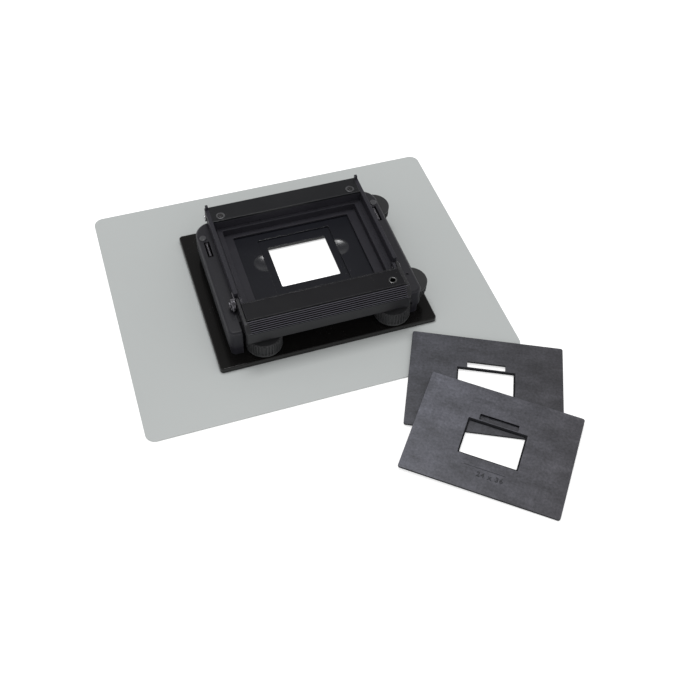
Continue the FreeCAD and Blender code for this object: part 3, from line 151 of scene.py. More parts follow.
def place(tree, kind, settings=None, **sockets):
    """Add a node. A socket takes a value or a socket; its name has _ for a space, or is s0, s1."""
    node = tree.nodes.new(kind)
    for name, value in (settings or {}).items():
        setattr(node, name, value)
    for name, value in sockets.items():
        key = int(name[1:]) if name[0] == "s" and name[1:].isdigit() else name.replace("_", " ")
        if isinstance(value, bpy.types.NodeSocket):
            tree.links.new(value, node.inputs[key])
        else:
            node.inputs[key].default_value = value
    return node


def new_group(name, kind, inputs, output):
    """Empty node group. An input is given by its default, or by its kind where it has none."""
    tree = bpy.data.node_groups.new(name, kind)
    for label, given in inputs.items():
        of_kind = given if isinstance(given, str) else SOCKET_KINDS[type(given)]
        socket = tree.interface.new_socket(name=label, in_out="INPUT",
                                           socket_type="NodeSocket" + of_kind)
        if of_kind != given:
            socket.default_value = given
    label, of_kind = output
    tree.interface.new_socket(name=label, in_out="OUTPUT", socket_type="NodeSocket" + of_kind)
    entry = tree.nodes.new("NodeGroupInput")
    result = tree.nodes.new("NodeGroupOutput")
    return tree, entry.outputs, result.inputs[0]


def new_shader(name, output, kind, **inputs):
    """Empty shader group that reads a place on the surface, with its own inputs and one output."""
    return new_group(name, "ShaderNodeTree", {"Vector": "Vector", **inputs}, (output, kind))


def built(maker):
    """Node group that a function makes, built at its first use."""
    if maker not in BUILT:
        BUILT[maker] = maker()
    return BUILT[maker]


def calc(tree, operation, first, second):
    """Result of one sum."""
    return place(tree, "ShaderNodeMath", {"operation": operation}, s0=first, s1=second).outputs[0]


def ranged(tree, value, low, high, to_low=0.0, to_high=1.0, kind="LINEAR"):
    """Value taken from one range to another."""
    return place(tree, "ShaderNodeMapRange", {"interpolation_type": kind}, Value=value, From_Min=low,
                 From_Max=high, To_Min=to_low, To_Max=to_high).outputs[0]


def mix_colour(tree, factor, first, second):
    """Blend of two colours."""
    mix = place(tree, "ShaderNodeMix", {"data_type": "RGBA"}, s0=factor, s6=first, s7=second)
    return mix.outputs[2]


def noise(tree, vector, scale, detail, roughness=0.5):
    """Value of a cloudy noise."""
    return place(tree, "ShaderNodeTexNoise", Vector=vector, Scale=scale, Detail=detail,
                 Roughness=roughness).outputs[0]


def swing(tree, given, detail, roughness, amount):
    """Cloudy noise about zero, as strong as the amount."""
    cloud = noise(tree, given["Vector"], given["Scale"], detail, roughness)
    return calc(tree, "MULTIPLY", calc(tree, "SUBTRACT", cloud, 0.5), amount)


def stretched(tree, vector, scale):
    """Coordinates drawn out along their axes."""
    return place(tree, "ShaderNodeMapping", Vector=vector, Scale=scale).outputs[0]


# ---- shared finishes

COARSE_GRAIN = 0.17    # scale of the coarse grain, as a share of the fine
RUB_AND_HIGHLIGHT_SCALE = 260.0      # scale of the breaks in an edge's wear and painted highlight
SPECK_RIM = (0.16, 0.04)      # distances from a speck's middle where it starts and is full
SPECK_FIELD = (0.52, 0.66)    # levels of a noise where specks start and are full
SPECK_FIELD_SCALE, DUST_SCALE = 70.0, 420.0
DUST_GREY = (0.35, 0.35, 0.35, 1)
# Grey of the lighter edges: partly wear, partly a painted highlight.
WORN_AND_LIT_GREY = (0.16, 0.16, 0.17)
PAINTED_SHEEN_SPAN = 0.06      # metres either way over which a slate insert's painted sheen fades, lighter to the left and darker to the right
# Streaks in the slate inserts: how each is drawn out, and its strength.
STREAKS = (((0.14, 1.6, 1.0), 0.5), ((1.4, 0.2, 1.0), 0.6), ((6.0, 6.0, 1.0), 1.6))
STREAK_SCALE = 100.0


def grain_group():
    """Fine moulded grain as a height."""
    tree, given, result = new_shader("moulded_grain", "Height", "Float", Scale=900.0, Coarse=0.3)
    fine = noise(tree, given["Vector"], given["Scale"], 3.0, 0.6)
    slow = calc(tree, "MULTIPLY", given["Scale"], COARSE_GRAIN)
    coarse = calc(tree, "MULTIPLY", noise(tree, given["Vector"], slow, 2.0), given["Coarse"])
    tree.links.new(calc(tree, "ADD", fine, coarse), result)
    return tree


def tone_group():
    """Slow change of a colour over the surface."""
    tree, given, result = new_shader("uneven_tone", "Colour", "Color", Scale=30.0, Colour="Color",
                                     Strength=0.2)
    factor = calc(tree, "ADD", swing(tree, given, 5.0, 0.62, given["Strength"]), 1.0)
    scaled = place(tree, "ShaderNodeVectorMath", {"operation": "SCALE"}, s0=given["Colour"],
                   Scale=factor)
    tree.links.new(scaled.outputs[0], result)
    return tree


def gloss_group():
    """Patches of higher and lower gloss."""
    tree, given, result = new_shader("gloss_patches", "Roughness", "Float", Scale=60.0,
                                     Roughness=0.4, Spread=0.1)
    change = swing(tree, given, 4.0, 0.55, given["Spread"])
    tree.links.new(calc(tree, "ADD", given["Roughness"], change), result)
    return tree


def wear_and_highlight_group():
    """Edges painted lighter: partly rubbed by handling, partly a painted highlight."""
    tree, given, result = new_shader("edge_wear", "Mask", "Float", Radius=0.4 * MM, Amount=0.3)
    softened = place(tree, "ShaderNodeBevel", {"samples": 4}, Radius=given["Radius"])
    flat = tree.nodes.new("ShaderNodeNewGeometry")
    turn = place(tree, "ShaderNodeVectorMath", {"operation": "DOT_PRODUCT"}, s0=softened.outputs[0],
                 s1=flat.outputs["Normal"])
    edge = calc(tree, "SUBTRACT", 1.0, turn.outputs["Value"])
    rubbed_and_lit = calc(tree, "MULTIPLY", edge, noise(tree, given["Vector"], RUB_AND_HIGHLIGHT_SCALE, 3.0))
    scaled = calc(tree, "MULTIPLY", rubbed_and_lit, given["Amount"])
    tree.links.new(place(tree, "ShaderNodeClamp", Value=scaled).outputs[0], result)
    return tree


def dust_group():
    """Few fine light specks."""
    tree, given, result = new_shader("fine_dust", "Mask", "Float", Scale=500.0, Amount=0.1)
    cells = place(tree, "ShaderNodeTexVoronoi", Vector=given["Vector"], Scale=given["Scale"])
    speck = ranged(tree, cells.outputs["Distance"], *SPECK_RIM)
    field = ranged(tree, noise(tree, given["Vector"], SPECK_FIELD_SCALE, 2.0), *SPECK_FIELD)
    both = calc(tree, "MULTIPLY", speck, field)
    tree.links.new(calc(tree, "MULTIPLY", both, given["Amount"]), result)
    return tree


def use_group(tree, maker, **sockets):
    """Output of a shared group placed in a material."""
    return place(tree, "ShaderNodeGroup", {"node_tree": built(maker)}, **sockets).outputs[0]


def finish(name, colour, rough=0.45, spread=0.12, patch=60.0, grain=1300.0, depth=0.002, tone=0.3,
           tone_scale=35.0, wear=0.3, wear_and_highlight_radius=0.45, light=WORN_AND_LIT_GREY, dust=0.15, specular=0.5,
           metallic=0.0, uv=None, stretch=None, across=None, flow=None):
    """Material of one finish; grain depth and the radius of the edge wear and painted highlight are in
    millimetres.
    """
    material = bpy.data.materials.new(name)
    material.use_nodes = True
    tree = material.node_tree
    shader = tree.nodes["Principled BSDF"]
    if uv:
        even = place(tree, "ShaderNodeUVMap", {"uv_map": uv}).outputs[0]
    else:
        even = tree.nodes.new("ShaderNodeTexCoord").outputs["Object"]
    source = stretched(tree, even, stretch) if stretch else even
    ground = (*colour, 1)
    # Painted sheen: the colour runs from full on the left to the darker 'across' colour on the right.
    if across:
        side = place(tree, "ShaderNodeSeparateXYZ", Vector=even).outputs[0]
        sheen_dark_end = (*[c * a for c, a in zip(colour, across)], 1)
        ground = mix_colour(tree, ranged(tree, side, -PAINTED_SHEEN_SPAN, PAINTED_SHEEN_SPAN), ground, sheen_dark_end)
    toned = use_group(tree, tone_group, Vector=source, Scale=tone_scale, Colour=ground, Strength=tone)
    if flow:
        for way, share in STREAKS:
            toned = use_group(tree, tone_group, Vector=stretched(tree, even, way),
                              Scale=STREAK_SCALE, Colour=toned, Strength=flow * share)
    # Edge mask that lightens the colour: partly wear, partly a painted highlight on the edges.
    mask = use_group(tree, wear_and_highlight_group, Vector=even, Radius=wear_and_highlight_radius * MM, Amount=wear)
    specks = use_group(tree, dust_group, Vector=even, Scale=DUST_SCALE, Amount=dust)
    worn_and_lit = mix_colour(tree, mask, toned, (*light, 1))
    tree.links.new(mix_colour(tree, specks, worn_and_lit, DUST_GREY), shader.inputs["Base Color"])
    gloss = use_group(tree, gloss_group, Vector=source, Scale=patch, Roughness=rough, Spread=spread)
    tree.links.new(gloss, shader.inputs["Roughness"])
    height = use_group(tree, grain_group, Vector=even, Scale=grain, Coarse=0.4)
    bump = place(tree, "ShaderNodeBump", Height=height, Strength=1.0, Distance=depth * MM)
    tree.links.new(bump.outputs[0], shader.inputs["Normal"])
    shader.inputs["Metallic"].default_value = metallic
    shader.inputs["Specular IOR Level"].default_value = specular
    return material


# Settings that like finishes share.
METAL = dict(patch=300, grain=2500)
GRIP = dict(rough=0.42, spread=0.15, patch=70, grain=1200, tone_scale=60)
WHEEL = dict(spread=0.15, patch=120, depth=0.012, wear=1.2)
INSERT = dict(wear=0.6, dust=0.25)
SPARE = dict(grain=1000, uv="insert_plane")
SLATE = dict(SPARE, spread=0.30, patch=34, depth=0.03, tone=2.0, tone_scale=60, wear=0.8, dust=0.2,
             stretch=(0.6, 1.4, 1.0), flow=0.95)

# By slot or look: the material's name, its colour, the share of that colour, and its settings.
# The edge wear of every finish is partly a painted highlight; on the plate, panel, bar and bush it is
# mostly that.
FINISH_TABLE = {
    "mask_sheet": ("sheet_satin", "sheet", 1.0, dict(
        rough=0.42, spread=0.06, patch=12, grain=1500, depth=0.004, tone=0.05, tone_scale=9,
        wear=0.5, wear_and_highlight_radius=0.3, light=(0.75, 0.77, 0.76), dust=0.0, specular=0.35)),
    "base_gloss": ("plate_gloss", "plate", 1.0, dict(
        rough=0.13, spread=0.10, patch=40, grain=600, tone=0.5, tone_scale=25, wear=2.0,
        wear_and_highlight_radius=0.5, light=(0.30, 0.30, 0.28), dust=0.12, specular=0.42)),
    "housing_dark": ("housing_moulded", "housing", 1.0, dict(
        rough=0.46, spread=0.22, patch=55, grain=1100, depth=0.022, tone=0.4, tone_scale=45,
        wear=0.9, specular=0.36)),
    "lid_dark": ("lid_moulded", "lid", 1.0, dict(
        GRIP, spread=0.2, depth=0.016, tone=0.4, wear=0.9, specular=0.22)),
    "grip_dark": ("grip_moulded", "lid", 0.36, dict(
        GRIP, depth=0.008, wear=1.2, wear_and_highlight_radius=0.2)),
    # Rib crests painted far lighter than the grip: a painted highlight.
    "grip_painted_highlight": ("grip_rubbed_crest", "lid", 2.7, dict(
        GRIP, depth=0.006, wear=1.0, wear_and_highlight_radius=0.1)),
    # Groove floors painted nearly black: painted shade in the grooves.
    "grip_groove": ("grip_groove", "lid", 0.07, dict(
        rough=0.6, grain=1200, depth=0.006, wear=0.0, dust=0.0, specular=0.1)),
    "panel_black": ("panel_satin", "panel", 1.0, dict(
        rough=0.33, spread=0.1, patch=45, grain=1400, depth=0.006, wear=3.0, light=(0.3, 0.3, 0.31),
        specular=0.4)),
    "bar_dark": ("bar_satin", "bar", 1.0, dict(
        rough=0.36, patch=50, depth=0.012, tone=0.35, wear=2.4, light=(0.26, 0.26, 0.27),
        specular=0.25)),
    "insert_black": ("insert_satin", "insert", 1.0, dict(
        INSERT, rough=0.34, spread=0.1, depth=0.005, specular=0.22)),
    "insert_hollow": ("insert_polished", "insert", 1.0, dict(
        INSERT, rough=0.23, spread=0.08, depth=0.003, specular=1.0)),
    "wheel_dark": ("wheel_moulded", "wheel", 1.0, WHEEL),
    # Same moulding as the front wheels, darkened to 0.6 as painted shade on the side wheels.
    "wheel_painted_shade": ("wheel_moulded_side", "wheel", 0.6, WHEEL),
    "blade_black": ("blade_blackened", "blade", 1.0, dict(
        rough=0.5, spread=0.15, patch=80, grain=1500, depth=0.006, wear=1.0, metallic=0.6)),
    "steel": ("steel_plain", "steel", 1.0, dict(
        METAL, rough=0.28, spread=0.15, tone=0.2, wear=0.2, light=(0.8, 0.8, 0.8), metallic=1.0,
        dust=0.0)),
    "screw_black": ("steel_blackened", "black_steel", 1.0, dict(
        METAL, rough=0.33, spread=0.15, depth=0.003, wear=2.0, light=(0.45, 0.45, 0.45),
        metallic=0.7)),
    # 'across' sets the dark right-hand end of a painted sheen on each slate insert.
    "spare_slate": ("spare_slate", "spare", 1.0, dict(
        SLATE, rough=0.44, light=(0.26, 0.26, 0.28), across=(0.58, 0.54, 0.50))),
    "spare_rear": ("spare_slate_rear", "spare", 0.58, dict(
        SLATE, rough=0.46, light=(0.22, 0.22, 0.24), across=(0.78, 0.73, 0.68))),
    # Side faces, in the openings and round the edges, painted nearly black: painted shade.
    "spare_side": ("spare_side", "spare", 0.1, dict(
        SPARE, rough=0.5, depth=0.02, tone=0.4, wear=0.8, wear_and_highlight_radius=0.2, light=(0.09, 0.09, 0.10),
        dust=0.0, specular=0.12)),
    # Raised figures and line painted darker than the field: painted shade on their shadow side.
    "spare_mark": ("spare_figures", "spare", 0.26, dict(
        SPARE, rough=0.44, depth=0.01, wear=0.4)),
    "bush_steel": ("bush_dark_steel", "bush", 1.0, dict(
        METAL, rough=0.22, wear=1.5, light=(0.7, 0.7, 0.7), metallic=1.0, dust=0.0)),
    "stud_grey": ("stud_worn", "stud", 1.0, dict(
        METAL, rough=0.3, depth=0.003, tone=0.4, wear=1.5, light=(0.5, 0.5, 0.5), metallic=0.4)),
    "spring_grey": ("spring_zinc", "zinc", 1.0, dict(
        METAL, rough=0.34, wear=0.2, metallic=0.9, dust=0.0)),
}
FINISHES = {}


def make_finishes(colours):
    """Build every finish in the table from the chosen colours."""
    for slot, (name, colour, share, settings) in FINISH_TABLE.items():
        FINISHES[slot] = finish(name, [c * share for c in getattr(colours, colour)], **settings)


# ---- mesh helpers

def add_object(name, data):
    """New object in the scene."""
    thing = bpy.data.objects.new(name, data)
    bpy.context.scene.collection.objects.link(thing)
    return thing


def from_bmesh(name, bm):
    """New object with the mesh of a bmesh, which is freed."""
    mesh = bpy.data.meshes.new(name)
    bm.to_mesh(mesh)
    bm.free()
    return add_object(name, mesh)


def settled(thing):
    """Replace an object's mesh by its evaluated one and drop its modifiers."""
    graph = bpy.context.evaluated_depsgraph_get()
    mesh = bpy.data.meshes.new_from_object(thing.evaluated_get(graph))
    thing.modifiers.clear()
    old = thing.data
    thing.data = mesh
    mesh.name = thing.name
    bpy.data.meshes.remove(old)
    return thing


def shade(thing):
    """Smooth shading with crisp edges and flat large faces."""
    mesh = thing.data
    mesh.polygons.foreach_set("use_smooth", [True] * len(mesh.polygons))
    mesh.set_sharp_from_angle(angle=SMOOTH_ANGLE)
    even = thing.modifiers.new("even_shading", "WEIGHTED_NORMAL")
    even.mode = "FACE_AREA"
    even.weight = 100
    even.keep_sharp = True
    return settled(thing)


def dressed(thing, slot, body, *nodes, look=None):
    """Give a piece its finish, its body and the nodes it stands for."""
    thing.data.materials.clear()
    thing.data.materials.append(FINISHES[look or slot])
    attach(thing, body)
    if nodes:
        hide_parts(*nodes)
    return thing


def merged_copy(node):
    """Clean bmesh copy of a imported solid: no doubles, flat faces whole."""
    bm = bmesh.new()
    bm.from_mesh(frame["nodes"][node].data)
    bmesh.ops.remove_doubles(bm, verts=bm.verts, dist=MERGE)
    bmesh.ops.dissolve_limit(bm, angle_limit=FLAT_ANGLE, verts=bm.verts, edges=bm.edges)
    return bm


def edge_room(edge):
    """Width of the narrower face beside an edge."""
    start = edge.verts[0].co
    along = (edge.verts[1].co - start).normalized()
    room = 1.0
    for face in edge.link_faces:
        inward = face.normal.cross(along)
        room = min(room, max(abs((v.co - start).dot(inward)) for v in face.verts))
    return room


def weigh_edges(mesh, width, split):
    """Mark the sharp outer edges for rounding, less so beside a narrow face."""
    bm = bmesh.new()
    bm.from_mesh(mesh)
    if split:
        dented = [f for f in bm.faces if not all(corner.is_convex for corner in f.loops)]
        bmesh.ops.triangulate(bm, faces=[f for f in dented if len(f.verts) > MANY_CORNERS])
    weight = bm.edges.layers.float.new("bevel_weight_edge")
    for edge in bm.edges:
        if edge.is_convex and edge.calc_face_angle() > EDGE_ANGLE:
            edge[weight] = min(1.0, ROOM_SHARE * edge_room(edge) / width)
    bm.to_mesh(mesh)
    bm.free()


def rounded(thing, width, segments=ROUND_SEGMENTS, split=False):
    """Round an object's sharp outer edges; split cuts up its dented faces first."""
    weigh_edges(thing.data, width, split)
    bevel = thing.modifiers.new("edges", "BEVEL")
    bevel.width = width
    bevel.segments = segments
    bevel.limit_method = "WEIGHT"
    bevel.use_clamp_overlap = False
    bevel.loop_slide = False
    settled(thing)
    return shade(thing)


def body_of(node):
    """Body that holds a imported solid."""
    bodies = frame["record"]["behaviour"]["bodies"]
    return next(body for body, nodes in bodies.items() if node in nodes)


def slot_of(node):
    """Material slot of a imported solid."""
    subparts = frame["record"]["subparts"]
    return next(part["material_slot"] for part in subparts if part["node"] == node)


def soften(node, width, segments=ROUND_SEGMENTS, look=None, split=False):
    """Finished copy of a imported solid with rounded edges, which replaces it."""
    piece = from_bmesh(node + "_finished", merged_copy(node))
    rounded(piece, width, segments, split)
    return dressed(piece, slot_of(node), body_of(node), node, look=look)


def dress_faces(piece, look, wanted):
    """Give some of a piece's faces another finish."""
    piece.data.materials.append(FINISHES[look])
    index = len(piece.data.materials) - 1
    for face in piece.data.polygons:
        if wanted(face):
            face.material_index = index


def paint(node):
    """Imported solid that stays, with its finish."""
    mesh = frame["nodes"][node].data
    mesh.materials.clear()
    mesh.materials.append(FINISHES[slot_of(node)])


def section(corners):
    """Closed outline in metres; each corner is a radius, a height and a rounding in millimetres."""
    points = []
    for i, (radius, height, size) in enumerate(corners):
        here = Vector((radius, height))
        if not size:
            points.append(here)
            continue
        back, on = (Vector(corners[k % len(corners)][:2]) - here for k in (i - 1, i + 1))
        start, end = here + back.normalized() * size, here + on.normalized() * size
        centre = start + end - here
        points += [start, centre + (here - centre).normalized() * size, end]
    return [(round(r, PLACES) * MM, round(z, PLACES) * MM) for r, z in points]


def lathe(bm, profile, steps):
    """Turn a closed profile of (radius, height) about Z."""
    rings = []
    for i in range(steps):
        angle = 2 * math.pi * i / steps
        rings.append([bm.verts.new((r * math.cos(angle), r * math.sin(angle), z)) for r, z in profile])
    for here, after in zip(rings, rings[1:] + rings[:1]):
        for j in range(len(profile)):
            k = (j + 1) % len(profile)
            bm.faces.new((here[j], after[j], after[k], here[k]))
    bmesh.ops.recalc_face_normals(bm, faces=bm.faces)


def wire_along(bm, points, radius, sides):
    """Closed round wire along a short path."""
    rings = []
    for i, point in enumerate(points):
        before, after = points[max(i - 1, 0)], points[min(i + 1, len(points) - 1)]
        along = (Vector(after) - Vector(before)).normalized()
        across = along.cross(Vector(ASKEW)).normalized()
        up = along.cross(across)
        ring = []
        for k in range(sides):
            angle = 2 * math.pi * k / sides
            out = across * math.cos(angle) + up * math.sin(angle)
            ring.append(bm.verts.new(Vector(point) + out * radius))
        rings.append(ring)
    for here, after in zip(rings, rings[1:]):
        for k in range(sides):
            bm.faces.new((here[k], here[(k + 1) % sides], after[(k + 1) % sides], after[k]))
    bm.faces.new(rings[0])
    bm.faces.new(rings[-1])


# ---- geometry node trees

def new_tree(name, **inputs):
    """Empty geometry tree for a mesh and a material, with its own inputs."""
    return new_group(name, "GeometryNodeTree",
                     {"Geometry": "Geometry", **inputs, "Material": "Material"},
                     ("Geometry", "Geometry"))


def closed_tree(tree, given, geometry, result):
    """End a tree with real geometry in its material."""
    real = place(tree, "GeometryNodeRealizeInstances", Geometry=geometry)
    final = place(tree, "GeometryNodeSetMaterial", Geometry=real.outputs[0], Material=given["Material"])
    tree.links.new(final.outputs[0], result)
    return tree


def ring_tree():
    """Repeats a mesh around Z."""
    tree, given, result = new_tree("ring_of_copies", Count=36, Turn=0.0)
    points = place(tree, "GeometryNodePoints", Count=given["Count"])
    index = tree.nodes.new("GeometryNodeInputIndex")
    step = calc(tree, "DIVIDE", 2 * math.pi, given["Count"])
    middle = calc(tree, "ADD", index.outputs[0], 0.5)
    angle = calc(tree, "ADD", calc(tree, "MULTIPLY", middle, step), given["Turn"])
    axis = place(tree, "ShaderNodeCombineXYZ", Z=angle)
    turn = place(tree, "FunctionNodeEulerToRotation", Euler=axis.outputs[0])
    copies = place(tree, "GeometryNodeInstanceOnPoints", Points=points.outputs[0],
                   Instance=given["Geometry"], Rotation=turn.outputs[0])
    return closed_tree(tree, given, copies.outputs[0], result)


def row_tree():
    """Repeats a mesh along a straight row."""
    tree, given, result = new_tree("row_of_copies", Count=2, Start=(0, 0, 0), Step=(0, 0, 0))
    line = place(tree, "GeometryNodeMeshLine", {"mode": "OFFSET"}, Count=given["Count"],
                 Start_Location=given["Start"], Offset=given["Step"])
    copies = place(tree, "GeometryNodeInstanceOnPoints", Points=line.outputs[0],
                   Instance=given["Geometry"])
    return closed_tree(tree, given, copies.outputs[0], result)


def coil_tree():
    """Helical spring about Z, from the origin upwards."""
    tree, given, result = new_tree("wound_spring", Turns=5.0, Radius=3 * MM, Wire=0.8 * MM,
                                   Length=10 * MM)
    helix = place(tree, "GeometryNodeCurveSpiral", Resolution=28, Rotations=given["Turns"],
                  Start_Radius=given["Radius"], End_Radius=given["Radius"], Height=given["Length"])
    half = calc(tree, "MULTIPLY", given["Wire"], 0.5)
    round_wire = place(tree, "GeometryNodeCurvePrimitiveCircle", Resolution=10, Radius=half)
    wound = place(tree, "GeometryNodeCurveToMesh", Curve=helix.outputs[0],
                  Profile_Curve=round_wire.outputs[0], Fill_Caps=True)
    joined = place(tree, "GeometryNodeJoinGeometry", s0=wound.outputs[0])
    tree.links.new(given["Geometry"], joined.inputs[0])
    return closed_tree(tree, given, joined.outputs[0], result)


def grow(thing, maker, look, **values):
    """Run a geometry tree on an object in a finish and keep its result."""
    tree = built(maker)
    modifier = thing.modifiers.new("pattern", "NODES")
    modifier.node_group = tree
    names = {item.name: item.identifier for item in tree.interface.items_tree
             if item.item_type == "SOCKET" and item.in_out == "INPUT"}
    for name, value in {**values, "Material": FINISHES[look]}.items():
        modifier[names[name]] = value
    thing.update_tag()
    return settled(thing)


# ---- operators

class DUPLICATOR_OT_stage(bpy.types.Operator):
    """Set the camera, the pale floor, the lamp field and the lights"""

    bl_idname = "duplicator.stage"
    bl_label = "Stage"

    SENSOR, LENS = 36.0, 49.706    # millimetres
    EYE = (-0.12797, -0.42067, 0.49283)
    TARGET = (0.003334, -0.068945, 0.015)
    ROLL = math.radians(2.643)
    SKY_RISE = (0.02, 0.80)    # heights between which the reflected sky goes grey
    FLOOR_HALF, FLOOR_HEIGHT = 4.0, -0.2 * MM
    LAMP_HALF, LAMP_HEIGHT = 34.0 * MM, -0.1 * MM
    FLOOR_WHITE = (0.80, 0.80, 0.80, 1)
    KEY_AIM = (0, 0, 0.02)

    def execute(self, context):
        studio = context.scene.duplicator_studio
        self.camera(context)
        self.world(context, studio)
        self.field("floor", self.FLOOR_HALF, self.FLOOR_HEIGHT, studio.floor_lift)
        self.field("lamp_field", self.LAMP_HALF, self.LAMP_HEIGHT, 1.0)
        self.key(studio)
        context.scene.view_settings.view_transform = "Standard"
        return {"FINISHED"}

    def camera(self, context):
        """Camera above the front left, slightly rolled."""
        data = bpy.data.cameras.new("camera")
        data.sensor_width = self.SENSOR
        data.lens = self.LENS
        data.clip_start = 0.01
        data.clip_end = 50
        cam = add_object("camera", data)
        eye = Vector(self.EYE)
        look = (Vector(self.TARGET) - eye).to_track_quat("-Z", "Y").to_matrix().to_4x4()
        cam.matrix_world = Matrix.Translation(eye) @ look @ Matrix.Rotation(self.ROLL, 4, "Z")
        context.scene.camera = cam

    def world(self, context, studio):
        """White as it is seen, and white low down and grey overhead in reflections."""
        world = bpy.data.worlds.new("studio")
        world.use_nodes = True
        context.scene.world = world
        tree = world.node_tree
        path = tree.nodes.new("ShaderNodeLightPath").outputs
        where = tree.nodes.new("ShaderNodeTexCoord")
        split = place(tree, "ShaderNodeSeparateXYZ", Vector=where.outputs["Generated"])
        low = ranged(tree, split.outputs[2], *self.SKY_RISE, 1.0, studio.ceiling, "SMOOTHSTEP")
        seen = calc(tree, "MAXIMUM", path["Is Camera Ray"], path["Is Transmission Ray"])
        glossy = calc(tree, "MULTIPLY", path["Is Glossy Ray"], low)
        dull = calc(tree, "SUBTRACT", 1.0, path["Is Glossy Ray"])
        ahead = calc(tree, "MULTIPLY", split.outputs[1], -studio.front_share)
        shaped = calc(tree, "MULTIPLY", calc(tree, "ADD", ahead, 1.0), studio.fill)
        diffuse = calc(tree, "MULTIPLY", dull, shaped)
        level = calc(tree, "MAXIMUM", seen, calc(tree, "ADD", glossy, diffuse))
        back = tree.nodes["Background"]
        back.inputs["Color"].default_value = (1, 1, 1, 1)
        tree.links.new(level, back.inputs["Strength"])

    def field(self, name, half, height, lift):
        """Pale level surface with a light of its own where it is seen."""
        bm = bmesh.new()
        bmesh.ops.create_grid(bm, x_segments=1, y_segments=1, size=half)
        bmesh.ops.translate(bm, verts=bm.verts, vec=(0, 0, height))
        surface = from_bmesh(name, bm)
        material = bpy.data.materials.new(name + "_white")
        material.use_nodes = True
        tree = material.node_tree
        inputs = tree.nodes["Principled BSDF"].inputs
        inputs["Base Color"].default_value = self.FLOOR_WHITE
        inputs["Roughness"].default_value = 0.9
        inputs["Specular IOR Level"].default_value = 0.0
        path = tree.nodes.new("ShaderNodeLightPath").outputs
        direct = calc(tree, "MAXIMUM", path["Is Camera Ray"], path["Is Transmission Ray"])
        seen = calc(tree, "MAXIMUM", direct, path["Is Glossy Ray"])
        inputs["Emission Color"].default_value = (1, 1, 1, 1)
        tree.links.new(calc(tree, "MULTIPLY", seen, lift), inputs["Emission Strength"])
        surface.data.materials.append(material)

    def key(self, studio):
        """Square soft box overhead."""
        data = bpy.data.lights.new("key", "AREA")
        data.energy = studio.key_power
        data.size = studio.key_size
        lamp = add_object("key", data)
        lamp.location = studio.key_place
        aim = Vector(self.KEY_AIM) - lamp.location
        lamp.rotation_euler = aim.to_track_quat("-Z", "Y").to_euler()


class DUPLICATOR_OT_finishes(bpy.types.Operator):
    """Build the finishes and give the hidden solids theirs"""

    bl_idname = "duplicator.finishes"
    bl_label = "Finishes"

    def execute(self, context):
        make_finishes(context.scene.duplicator_colours)
        for node in ("housing_tray", "housing_screws", "blade_guide", "blade_left", "blade_right",
                     "blade_front", "blade_rear", "front_wheel_pins"):
            paint(node)
        return {"FINISHED"}


class DUPLICATOR_OT_plates(bpy.types.Operator):
    """Finish the light-mask sheet and the glossy base plate"""

    bl_idname = "duplicator.plates"
    bl_label = "Sheet and base plate"

    def execute(self, context):
        sizes = context.scene.duplicator_sizes
        soften("light_mask_sheet", sizes.sheet_edge, FINE_SEGMENTS)
        soften("base_plate", sizes.plate_edge, FINE_SEGMENTS)
        return {"FINISHED"}


class DUPLICATOR_OT_housing(bpy.types.Operator):
    """Finish the moulded cover and the heads on it"""

    bl_idname = "duplicator.housing"
    bl_label = "Housing"

    def execute(self, context):
        sizes = context.scene.duplicator_sizes
        soften("housing_cover", sizes.moulded_edge)
        for node in ("cover_studs", "side_wheel_spindles"):
            soften(node, sizes.metal_edge, FINE_SEGMENTS, look="stud_grey")
        return {"FINISHED"}


